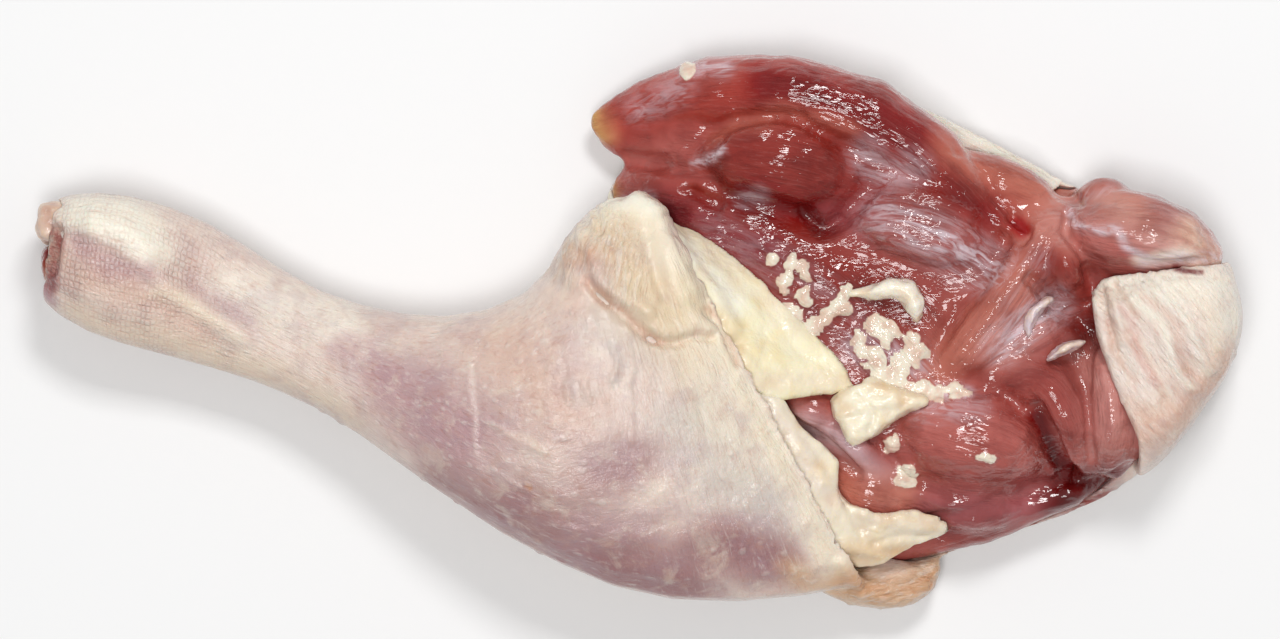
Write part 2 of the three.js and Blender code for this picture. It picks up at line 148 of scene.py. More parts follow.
# Relief: each line is a run in plan, its half width and its height in millimetres, up or down.
MEAT_RELIEF = [
    # creases between the muscles
    ([(16, 39.2), (21.1, 43.4), (31.6, 44.6), (45.8, 38.3)], 2.6, -0.9),
    ([(10.6, 38.3), (16, 42.5), (23.6, 45.5), (33.7, 45.5)], 2.2, -0.7),
    ([(21.1, 28.2), (31.6, 24.9), (38.7, 21.9), (43.3, 25.3), (47.5, 29.9)], 4.0, -2.4),
    ([(34.9, 24.9), (38.7, 21.9), (41.6, 23.6)], 2.6, -1.8),
    ([(-2.5, 36.6), (5.1, 35.4), (13.9, 32.9), (17.7, 28.7)], 3.2, -1.5),
    ([(10.6, 29.9), (13.9, 28.2), (16, 26.6)], 2.8, -2.0),
    ([(47.1, 32.9), (55.5, 28.7), (66, 24.5), (76.1, 19.4)], 2.6, -1.1),
    ([(76.9, 20.3), (72.3, 11), (66, 2.2), (61, -4.9)], 2.6, -1.2),
    ([(78.2, 24), (81.1, 21.5), (79.9, 19.4)], 2.4, -1.8),
    ([(84.1, 34.5), (88.7, 29.9), (92, 27.8)], 2.4, -1.0),
    ([(82, 11), (86.2, 6.8), (89.5, 5.6), (94.6, 5.6)], 2.6, -2.2),
    ([(88.3, 5.6), (92, 3), (95, -0.3)], 4.0, -3.0),
    ([(93.3, 13.5), (95, 10.2), (94.6, 6.8)], 2.4, -1.4),
    ([(82.8, -15.9), (85.7, -21.7), (88.3, -27.6), (91.6, -31)], 2.6, -3.0),
    ([(94.6, -3.7), (93.7, -12.5), (94.1, -20.5), (95, -26.4)], 1.6, -1.0),
    ([(52.6, -16.3), (63.1, -13.3), (72.3, -12.1)], 2.2, -0.8),
    ([(57.2, -30.6), (67.3, -34.3), (78.2, -33.9), (85.3, -32.2)], 2.6, -1.3),
    ([(44.6, -19.2), (50.5, -23.4), (55.9, -29.7)], 1.8, -1.1),
    ([(31.1, -18), (40, -23.8), (45.8, -29.7)], 1.8, -1.2),
    ([(61, -39.4), (75.7, -36.4), (88.3, -33.5)], 2.4, -1.1),
    ([(88.3, -31.8), (96.7, -31.8), (103, -28.9)], 2.6, -1.8),
    ([(100.9, 19.4), (102.5, 16.9), (107.2, 15.2), (115.6, 15.6)], 1.6, -0.9),
    ([(89.9, 24.9), (89.5, 20.3), (92.5, 16.1)], 1.8, -1.0),
    # rounded crowns and ridges
    ([(17.3, 37.9), (20.6, 40.8), (27.4, 42.5), (33.7, 41.7)], 2.2, 0.9),
    ([(21.1, 36.6), (31.6, 36.2), (41.2, 34.5)], 9.0, 0.8),
    ([(93.7, 21.9), (107.2, 19.4), (119.8, 14.8)], 6.0, 0.8),
    ([(93.3, 29.1), (98.8, 30.3), (104.2, 27.8)], 3.4, 0.8),
    ([(61, -21.7), (71.5, -23.8)], 9.0, 0.7),
    ([(86.2, -12.5), (90.4, -18.4)], 5.0, 0.9),
    ([(88.3, 17.3), (90.4, 11)], 4.0, 0.8),
    ([(96.7, -5.8), (99.2, -16.3), (98.3, -26.8)], 5.0, 0.8),
    ([(50.5, 21.5), (61, 18.2), (70.2, 13.5)], 5.0, 0.6),
    # the thin seams of white membrane
    ([(89.9, 26.1), (91.6, 21.9), (99.2, 21.1), (101.7, 17.3), (107.2, 15.6), (116.8, 16.5)], 1.1, 0.5),
    ([(82.8, 6.8), (85.7, 6.4), (89.1, 6.8)], 1.0, 0.5),
]
# Wrinkles in patches: the run, half width, direction in degrees, step, how drawn out, height
MEAT_WRINKLES = [
    ([(8.5, 23.2), (25.3, 17.3), (40, 6.8), (50.5, -1.6)], 11, -12, 1.7, 3.4, 0.5),
    ([(19, 21.5), (33.7, 14.8)], 8, -20, 2.6, 3.0, 0.5),
    ([(49.6, 30.8), (61, 23.6), (71.5, 14.8)], 9, -38, 1.5, 4.0, 0.55),
    ([(75.7, -4.1), (83.2, 3), (91.6, 7.7)], 7, 34, 1.4, 4.0, 0.55),
    ([(88.3, 24.9), (79.9, 17.3), (71.5, 4.7), (63.1, -7.9)], 9, 52, 1.6, 5.0, 0.4),
    ([(0.1, 46.3), (12.7, 52.2), (27.4, 55.1), (44.2, 52.2)], 6, 20, 1.3, 5.0, 0.32),
    ([(21.1, 50.5), (40, 48), (54.7, 40.4), (71.5, 25.7)], 9, -30, 1.8, 6.0, 0.3),
    ([(61, -14.2), (70.6, -16.7), (79, -23.4)], 9, -34, 1.5, 4.5, 0.4),
    ([(58.9, -25.1), (71.5, -30.1), (82, -32.2)], 8, -10, 2.0, 3.5, 0.35),
    ([(17.7, 40.4), (31.6, 42.5), (44.2, 38.3)], 7, 8, 1.4, 4.5, 0.3),
    ([(0.1, 34.1), (12.7, 30.8)], 7, -8, 1.8, 4.0, 0.35),
    ([(65.2, 37.1), (77.8, 32), (88.3, 26.6)], 6, -32, 1.2, 5.0, 0.35),
    ([(91.6, 23.2), (105.1, 21.1), (121, 14.8)], 9, -14, 1.3, 4.5, 0.32),
    ([(84.1, -10), (90.4, -18.4), (92.9, -28.9)], 7, -60, 1.5, 4.0, 0.3),
    ([(96.7, -5.8), (98.8, -18.4), (97.5, -28.9)], 8, 70, 1.4, 4.0, 0.25),
    ([(33.7, -18.4), (44.2, -23.8), (52.6, -33.1)], 6, -40, 1.3, 4.0, 0.4),
    ([(54.7, -39.4), (75.7, -37.7), (92.5, -33.5)], 5, 10, 1.3, 5.0, 0.3),
    ([(-125.1, 17.3), (-124.7, 9.3)], 6, 70, 1.4, 2.0, 0.7),
]
SKIN_RELIEF = [
    # the shank: pad at the joint, the groove and the tendon under the skin
    ([(-114.2, 23.2), (-107.9, 21.1), (-102.8, 17.3)], 4.6, 1.3),
    ([(-117.5, 26.6), (-109.1, 26.6), (-102.8, 24.5)], 4.0, 0.4),
    ([(-121.3, 21.5), (-115, 18.2), (-108.3, 14.4), (-102.8, 10.2)], 2.6, -0.7),
    ([(-103.7, 13.1), (-94.4, 6), (-82.7, -1.2)], 3.4, 1.0),
    ([(-95.7, 13.1), (-89.4, 8.5), (-81.4, 3.5)], 4.4, -1.1),
    ([(-119.6, 6.8), (-114.2, 3.5), (-104.9, 0.5)], 3.0, -0.4),
    ([(-122.6, 25.7), (-121.7, 19.4), (-123, 11)], 1.6, 0.5),
    # the collar over the knee
    ([(-10.9, 10.6), (-8.3, 7.7), (-4.8, 5.1), (-1.4, 2), (3.2, -1.6)], 1.8, -1.9),
    ([(2.2, -1.4), (7, -2.2), (11.2, -0.9), (15.2, -1.2)], 1.6, -1.5),
    ([(13.7, 4.1), (17.3, 1.4), (18.5, -2), (20.6, -6.6)], 1.4, -0.8),
    ([(-9.2, 8.5), (-6.7, 6.6)], 1.8, -1.2),
    ([(-4.6, 9.8), (0.1, 6), (5.1, 1.4), (10.6, 0.9)], 2.4, 0.7),
    ([(-8.3, 10.6), (-3.7, 7.2), (1.7, 3.9)], 2.2, 0.8),
    ([(-19.3, 13.1), (-15.5, 8.9), (-10.4, 6)], 3.0, -0.8),
    ([(-7.5, 24.9), (-0.8, 26.6), (3.4, 24.9)], 5.0, 1.3),
    ([(0.1, 26.1), (3.6, 22.8), (7.6, 14.8), (10.6, 8.9)], 4.6, 1.7),
    ([(-12.5, 21.9), (-10.4, 16.9), (-8.3, 11.9)], 2.4, 0.8),
    ([(5.1, 17.3), (7.6, 7.7), (14.3, 0.9)], 2.6, 0.8),
    ([(1.3, 22.4), (2.6, 15.2), (5.1, 6.8)], 2.0, -0.7),
    # calf
    ([(-33.3, -2.4), (-34.4, -10), (-33.1, -18), (-33.5, -22.6)], 1.5, -0.16),
    ([(-35, -4.1), (-35.6, -11.2), (-34.4, -18.4), (-34, -25.1)], 1.1, 0.18),
    ([(-35.2, -18), (-30.8, -18.8), (-25.1, -22.2), (-19.5, -24.7)], 1.2, 0.45),
    ([(-5.8, -2.4), (-4.6, -5.8), (-5.8, -10)], 1.0, 0.45),
    ([(-2.9, -1.6), (-1.6, -6.2), (-2, -11.2)], 1.0, 0.4),
    ([(-15.1, -10.8), (-14.6, -14.2)], 1.2, 0.5),
    ([(-11.7, -10), (-10.4, -13.8)], 1.2, 0.5),
    ([(-2, -12.7), (-1.4, -18.4), (-1.8, -22.6)], 1.2, 0.4),
    ([(7.8, -27.4), (9.9, -33.7), (11.2, -37.3)], 1.4, 0.4),
    ([(-58.7, 0.5), (-46.1, -3.7), (-29.3, -4.1)], 5.0, -0.5),
    # the thin turned edge
    ([(11, 13.1), (16, 3.9)], 3.0, -0.8),
    ([(22.5, -10), (28.8, -22.6), (35.1, -33.1), (42.5, -45.7)], 2.6, -0.6),
    # fold over the hip
    ([(96.7, 9.1), (97.1, 4.7), (98.1, 0.5), (99, -3.7)], 1.2, -1.0),
    ([(99.2, 9.8), (101.3, 6), (102.5, 3.5)], 1.2, -0.8),
    ([(98.5, -0.3), (100.9, -5.8), (103.2, -9.8)], 1.2, -0.7),
    ([(95.6, 6.8), (96.7, 0.5), (97.9, -4.1)], 1.6, 0.7),
    ([(98.1, 8.5), (99.8, 3.5), (101.3, -1.6)], 1.4, 0.7),
    ([(107.2, 6.8), (115.6, 0.5), (120.6, -8.3)], 6.0, 0.5),
    ([(95.4, 10.6), (103, 11.7), (111.4, 12.7), (117.7, 13.1)], 1.4, 0.6),
    ([(100, 3), (105.1, -4.1), (109.3, -12.5)], 1.3, 0.4),
    ([(102.5, 7.2), (109.3, -1.6), (114.7, -11.7)], 1.5, 0.55),
    ([(107.6, 8.5), (114.7, 0.5), (118.9, -8.3)], 1.4, 0.5),
    ([(100.9, 0.5), (106.3, -7), (109.7, -15.9)], 1.4, -0.35),
    ([(104.6, 7.2), (111.8, -1.6), (116.8, -11.2)], 1.3, -0.35),
    # lip
    ([(42.5, -48.2), (44.6, -51.1), (46.7, -54.5)], 2.6, 1.1),
    ([(48.8, -51.6), (52.6, -52.8), (57.2, -52.8), (61, -50.3)], 1.6, -0.8),
    ([(47.5, -55.3), (51.7, -56.6), (55.9, -56.6), (60.5, -54.1)], 2.4, 0.6),
]
SKIN_WRINKLES = [
    ([(-16.7, 14.8), (-13, 19.4), (-7.5, 23.2)], 7, 82, 2.3, 3.4, 1.25),
    ([(-9.2, 14.8), (-1.6, 13.5), (2.2, 6.8)], 8, 80, 2.8, 2.6, 0.6),
    ([(-8.3, 6.8), (0.1, 0.5), (10.6, -3.7)], 5, -35, 2.4, 2.4, 0.5),
    ([(-6.2, 27), (0.1, 27.8), (3.8, 26.1)], 3, 10, 2.2, 1.4, 0.6),
    ([(4.3, 19.4), (10.6, 4.7)], 5, -62, 1.5, 3.0, 0.4),
    ([(-8.3, 0.5), (-4.1, -5.8), (0.1, -14.2)], 8, -82, 2.2, 4.0, 0.45),
    ([(-16.7, -7.9), (-8.3, -12.5), (0.1, -18.4)], 7, 80, 2.4, 3.0, 0.35),
    ([(4.3, -5.8), (10.6, -16.3), (16.9, -26.8)], 10, -66, 2.6, 5.0, 0.3),
    ([(-25.1, -28.9), (-8.3, -39.4), (12.7, -45.7)], 14, -32, 2.6, 5.0, 0.28),
    ([(-58.7, 0.5), (-46.1, -14.2), (-35.6, -26.8)], 12, -40, 2.4, 5.0, 0.25),
    ([(96.7, 8.9), (101.7, -0.7), (105.1, -14.2)], 7, -60, 1.5, 4.5, 0.5),
    ([(107.2, 8.9), (115.6, -1.6), (113.5, -18.4)], 13, -54, 3.2, 6.0, 1.0),
    ([(98.8, 6.8), (103, -3.7), (107.2, -14.2)], 7, -60, 2.2, 4.0, 0.6),
    ([(96.7, 10.6), (109.3, 11.9), (124, 13.1)], 4, 8, 1.4, 3.0, 0.5),
    ([(47.5, -54.1), (54.7, -56.2), (61.8, -52.4)], 6, 20, 1.5, 2.4, 0.6),
    ([(-124.3, 26.6), (-124.3, 8.5)], 4, 80, 1.3, 2.4, 0.4),
    ([(63.1, -46.9), (86.2, -40.2), (100.9, -34.3)], 4, 14, 1.4, 3.0, 0.5),
    ([(53.8, 49.2), (67.3, 43.8), (86.2, 33.7)], 5, -30, 1.4, 3.0, 0.5),
]
# Patches where the skin's grain has a way of its own: the run, half width, direction, how rough it is
SKIN_GRAIN = [
    ([(96.7, 6.8), (109.3, 0.5), (117.7, -1.6), (107.2, -20.5)], 26, -52, 0.35),
    ([(-15.5, 14.8), (-10.4, 21.1), (-4.6, 17.3), (-3.7, 10.2)], 8, 78, 0.7),
    ([(54.7, 48.8), (67.3, 43.6), (88.3, 32)], 6, -32, 0.6),
    ([(46.3, -54.1), (55.7, -55.8), (62.2, -51.6), (86.2, -41.5), (100.9, -34.8)], 7, 14, 0.7),
]
FAT_RELIEF = {
    "fat_tongue": [
        ([(5.5, 21.1), (10.1, 14.4), (15.6, 6.4), (19, 0.5)], 3.4, 1.2),
        ([(23.2, -4.1), (31.6, -8.3), (40.4, -10)], 5.0, 1.0),
        ([(15.2, 17.3), (21.1, 11.9), (26.1, 5.6)], 3.0, -0.4),
        ([(31.6, 0.5), (37.9, -4.1), (43.3, -7.5)], 3.0, 0.6),
        ([(20.2, -4.1), (27.4, -11.2), (40, -11.7)], 2.0, 0.6),
    ],
    "fat_flap": [
        ([(41.6, -17.5), (47.1, -15), (53.8, -14.6)], 1.8, 0.6),
        ([(45.4, -13.3), (48.8, -16.7), (47.9, -20.5)], 1.2, -0.6),
    ],
    "fat_collar": [
        ([(28.6, -15.9), (33.7, -23.8), (39.1, -31.4)], 2.2, 0.6),
        ([(43.3, -30.1), (43.3, -35.2), (46.3, -41.5)], 1.8, -0.9),
        ([(47.5, -37.7), (54.7, -40.2), (63.1, -40.6)], 2.4, 0.9),
        ([(39.1, -39.4), (44.2, -44.4), (50.5, -46.9)], 2.0, 0.5),
        ([(49.2, -44.4), (54.7, -42.7), (61, -42.7)], 1.4, -0.6),
    ],
}
# Scraps of fat caught in the membrane: the run, how far they stray from it and how many there are
FAT_SCRAPS = [
    ([(45.4, -4.1), (51.3, -2.8), (57.2, -1.6)], 1.8, 11),
    ([(48.8, -8.7), (54.7, -7.9), (57.6, -4.9)], 1.6, 8),
    ([(47.1, -0.3), (51.7, 0.9)], 1.2, 6),
    ([(37, 1.8), (40, 4.3), (42.5, 5.6)], 0.5, 8),
    ([(31.6, 10.6), (34.1, 7.2), (31.1, 3.9)], 0.7, 8),
    ([(42.9, 8.3), (49.2, 8.5)], 0.4, 7),
    ([(53.8, -11.2), (61, -13.5), (68.5, -12.3)], 0.7, 16),
    ([(53.8, -26.8), (55.7, -30.1)], 0.7, 6),
    ([(47.9, -18.8), (53, -22.6)], 0.6, 4),
    ([(10.1, 54.7), (11.8, 53.4)], 0.5, 2),
    ([(72.3, -25.9), (73.6, -26.4)], 0.2, 1),
    ([(29.5, 15.6), (36.2, 11.9)], 1.4, 4),
]
SCRAP_LENGTHS = (1.2, 2.9)

# The hues of the leg, from the painted shade of clefts, slits and hollows to white fat
HUES = {
    # painted shade: the near-black red laid in clefts, slits and the hollow of the hock
    "cleft_shade": "#5C0E0E",
    "deep": "#741B1E",
    "wine": "#84404A",
    "rust": "#7A2A22",
    "brick": "#8A302B",
    "blood": "#960F12",
    "rose": "#A24F49",
    "plum": "#A86468",
    "warm": "#AE443B",
    "raw": "#BC6B64",
    "salmon": "#C27766",
    "blush": "#CF928A",
    "bruised": "#94686A",
    "mauve": "#B38B92",
    "clay": "#C08A6A",
    "tan": "#D3A994",
    "ash": "#C8BDB6",
    "lilac": "#DCCBD3",
    "shell": "#E6D6CA",
    "wheat": "#E2CFB8",
    "straw": "#E0C8A0",
    "amber": "#DAB384",
    "butter": "#F0D98A",
    "peach": "#F6CBA8",
    "cream": "#EFE3CA",
    "ivory": "#F4F0E0",
}
# Each touch of colour is a run in plan, its half width in millimetres, how strong it is and its hue.
MEAT_BASE = "#9A4E49"
MEAT_TOUCHES = [
    ([(-7.1, 45), (6.8, 49.2), (22.7, 51.3), (39.1, 49.2), (55.1, 41.7), (67.7, 32), (75.7, 22.8)], 10, 0.8, "warm"),
    ([(-8.3, 45.5), (4.3, 52.2), (22.5, 56.8), (40, 53.9), (54.7, 47.1)], 4, 0.6, "raw"),
    ([(27.4, 50.5), (44.2, 47.1), (61, 36.6), (72.5, 25.3)], 6, 0.85, "deep"),
    ([(-9.6, 46.3), (-7.5, 41.7)], 3, 0.9, "butter"),
    ([(-5.8, 30.3), (-5, 28.7)], 2.6, 0.9, "butter"),
    ([(-4.6, 44.2), (2.2, 46.3)], 5, 0.5, "warm"),
    ([(-2.5, 38.3), (12.7, 38.7)], 5, 0.7, "raw"),
    ([(0.1, 30.8), (12.7, 29.5)], 5, 0.8, "raw"),
    ([(11.8, 28.7), (15.2, 27.4)], 2.6, 0.8, "rust"),
    ([(21.1, 37.1), (33.7, 35.8), (43.3, 32.9)], 11, 0.65, "brick"),
    ([(16, 40), (22.3, 43.8), (31.6, 45.9), (45.4, 42.1)], 2.6, 0.6, "salmon"),
    # painted shade on the lower flank of the inner thigh and in the cleft under it
    ([(23.6, 27.4), (33.7, 25.3), (44.2, 27.8), (47.5, 30.3)], 5, 0.85, "deep"),
    ([(36.2, 24.5), (39.1, 21.9)], 2.4, 0.9, "cleft_shade"),
    ([(6.8, 24.5), (21.1, 20.3), (33.7, 14.8), (46.7, 5.6)], 9, 0.8, "brick"),
    ([(6.4, 25.7), (15.2, 21.9), (25.7, 16.9)], 5, 0.6, "wine"),
    ([(46.7, 29.9), (58.9, 24.9), (72.3, 18.2)], 8, 0.6, "rose"),
    ([(41.6, 24.9), (46.7, 23.2)], 5, 0.6, "plum"),
    ([(90.8, 26.8), (84.1, 17.3), (75.7, 6.8), (67.3, -3.7), (61, -13.1)], 8, 0.8, "salmon"),
    ([(76.3, 19.4), (70.4, 10.2), (64.7, 2.2)], 2.6, 0.6, "rose"),
    ([(65.2, 37.9), (77.8, 32.9), (87.4, 27.4)], 6, 0.85, "salmon"),
    ([(90.4, 23.2), (107.2, 20.3), (122.3, 14.8)], 8, 0.85, "blush"),
    ([(93.3, 26.6), (100.9, 23.2), (107.2, 24)], 3.4, 0.7, "rose"),
    ([(92.5, 19.4), (97.5, 19), (101.7, 17.3)], 3.0, 0.8, "raw"),
    ([(109.3, 21.1), (117.7, 18.2)], 3.4, 0.6, "blush"),
    ([(104.2, 14.8), (112.6, 15.6), (122.3, 14.8)], 1.8, 0.8, "ivory"),
    # painted shade in the slit between the hip and the fold of skin
    ([(111.4, 13.3), (114.3, 12.9), (117.2, 13.3)], 0.8, 1.0, "cleft_shade"),
    ([(94.6, -6.2), (96.7, -10)], 3.0, 0.6, "blush"),
    ([(114.7, 20.3), (123.1, 14.4)], 4, 0.7, "peach"),
    ([(92.9, 29.1), (104.2, 26.6)], 4, 0.7, "salmon"),
    ([(85.7, 14), (92.5, 7.2)], 4.5, 0.8, "brick"),
    # painted shade in the deep cleft under the hanging lobe of the hip
    ([(86.6, 4.3), (94.6, 0.9)], 4.5, 0.9, "cleft_shade"),
    ([(75.7, -2.4), (87.8, 5.1)], 6.5, 0.7, "blush"),
    ([(96.7, -5.8), (99.6, -18.4), (97.9, -28)], 7, 0.9, "blush"),
    ([(61, -20.5), (72.5, -21.7), (82, -25.1)], 10, 0.8, "raw"),
    ([(71.5, -12.5), (84.9, -13.8)], 5, 0.7, "rose"),
    # painted shade in the deep cleft between the lower lobes
    ([(82.8, -17.1), (85.7, -22.6), (88.7, -28), (92, -31.4)], 2.2, 0.9, "cleft_shade"),
    ([(30.3, -14.6), (41.2, -16.3)], 4.5, 0.85, "raw"),
    ([(34.1, -19.6), (44.2, -23.8), (53, -33.5)], 4.2, 0.65, "lilac"),
    ([(42.5, -32.7), (55.1, -34.3)], 6, 0.9, "salmon"),
    ([(61, -37.7), (77.8, -36.9), (88.3, -34.3)], 5, 0.85, "plum"),
    # painted shade in the cleft along the lower edge
    ([(88.3, -34.8), (100.4, -31)], 4.5, 0.85, "cleft_shade"),
    ([(48.4, -48.6), (63.1, -45.3)], 3, 0.8, "raw"),
    ([(79.7, 22.8), (81.3, 20.7)], 1.8, 0.95, "blood"),
    ([(67.3, -13.8), (73.6, -12.5)], 3, 0.5, "raw"),
    ([(99.2, 24.9), (107.2, 22.4), (118.5, 18.2)], 5, 0.3, "shell"),
    ([(-125.9, 17.3), (-124.7, 13.1)], 4, 0.8, "brick"),
    ([(-123.4, 21.5), (-123.2, 15.2), (-124, 10.2)], 3, 1.0, "rust"),
    # painted shade in the middle of the hollow at the hock
    ([(-122.8, 19.4), (-122.6, 14.8)], 1.2, 0.9, "cleft_shade"),
    ([(-125.5, 10), (-124.3, 7.7)], 4, 0.8, "clay"),
]
# Where white membrane shows, and where it breaks up into fat; on the wet plateau and the wet middle of the thigh the
# pale film is a painted sheen
MEMBRANE_AND_SHEEN = [
    ([(0.1, 47.1), (8.5, 51.3)], 4, 0.45),
    ([(47.5, 37.1), (51.3, 33.7), (57.2, 34.5)], 4.5, 0.65),
    ([(51.3, 24.5), (61, 20.3), (72.3, 13.5)], 6, 0.85),
    # painted sheen on the wet plateau
    ([(16.9, 20.3), (31.6, 11.9), (44.2, 3)], 6, 0.2),
    ([(55.7, 21.9), (64.1, 19.4), (71.9, 14.8)], 4, 1.0),
    ([(44.6, -2.4), (51.3, -4.9), (57.6, -6.2)], 4.5, 0.75),
    ([(90.4, 25.7), (91.4, 22.4), (96.2, 21.1), (99.6, 21.5), (101.7, 17.7), (106.7, 15.2)], 1.2, 1.0),
    ([(105.1, 14.8), (113.5, 15.6), (122.3, 15.2)], 1.6, 0.9),
    ([(92.9, 28.7), (98.8, 29.9)], 1.4, 0.4),
    # painted sheen where the middle of the thigh is wettest
    ([(75.7, -2.8), (81.1, 2.2), (86.6, 5.6)], 4.5, 1.0),
    ([(76.9, 14.8), (83.2, 16.1), (77.8, 6.8)], 4, 0.25),
    ([(33.7, -19.2), (44.2, -23.8)], 4, 0.35),
    ([(61, -12.5), (68.3, -12.9)], 2.4, 0.9),
    ([(58.9, -16.3), (70.4, -15.9)], 3.5, 0.5),
    ([(9.7, 54.7), (13.9, 56), (17.7, 55.5)], 2.5, 0.8),
    ([(11.4, 35.4), (15.2, 36.6), (17.3, 38.3)], 1.2, 0.9),
    ([(-3.7, 27.8), (2.2, 28.7)], 1.6, 0.6),
    ([(21.9, 27.8), (25.3, 28.7)], 2.4, 0.5),
]
# Where the wet film lies thick, in waves
WET_AREAS = [
    ([(6.8, 22.8), (21.1, 19.4), (33.7, 13.5), (46.7, 4.7), (56.8, -5.8)], 13, 1.0),
    ([(33.7, 6.8), (42.1, -1.6), (48.4, -10)], 9, 1.0),
    ([(48.8, 27.8), (61, 22.4), (73.6, 14.8)], 9, 1.0),
    ([(49.6, 36.2), (58.9, 32), (71.5, 24.7)], 5, 0.9),
    ([(88.3, 21.5), (79.9, 11), (69.4, -3.7), (61, -12.1)], 8, 0.8),
    ([(75.7, -2.8), (84.1, 2.2), (92.5, 6.8)], 7, 1.0),
    ([(54.7, -20.5), (69.4, -20.5), (79.9, -24.7)], 9, 0.8),
    ([(94.6, 20.5), (107.2, 18.4), (120.8, 14.8)], 6, 0.6),
    ([(0.1, 47.1), (12.7, 52.2), (25.3, 54.7)], 4, 0.7),
    ([(-6.2, 29.9), (2.2, 29.9), (12.7, 28.7)], 4, 0.7),
    ([(33.7, -19.6), (44.2, -23.8), (53, -33.5)], 5, 0.9),
    ([(96.7, -5.8), (98.8, -18.4), (97.9, -28)], 6, 0.6),
]
SKIN_BASE = "#E2CFC3"
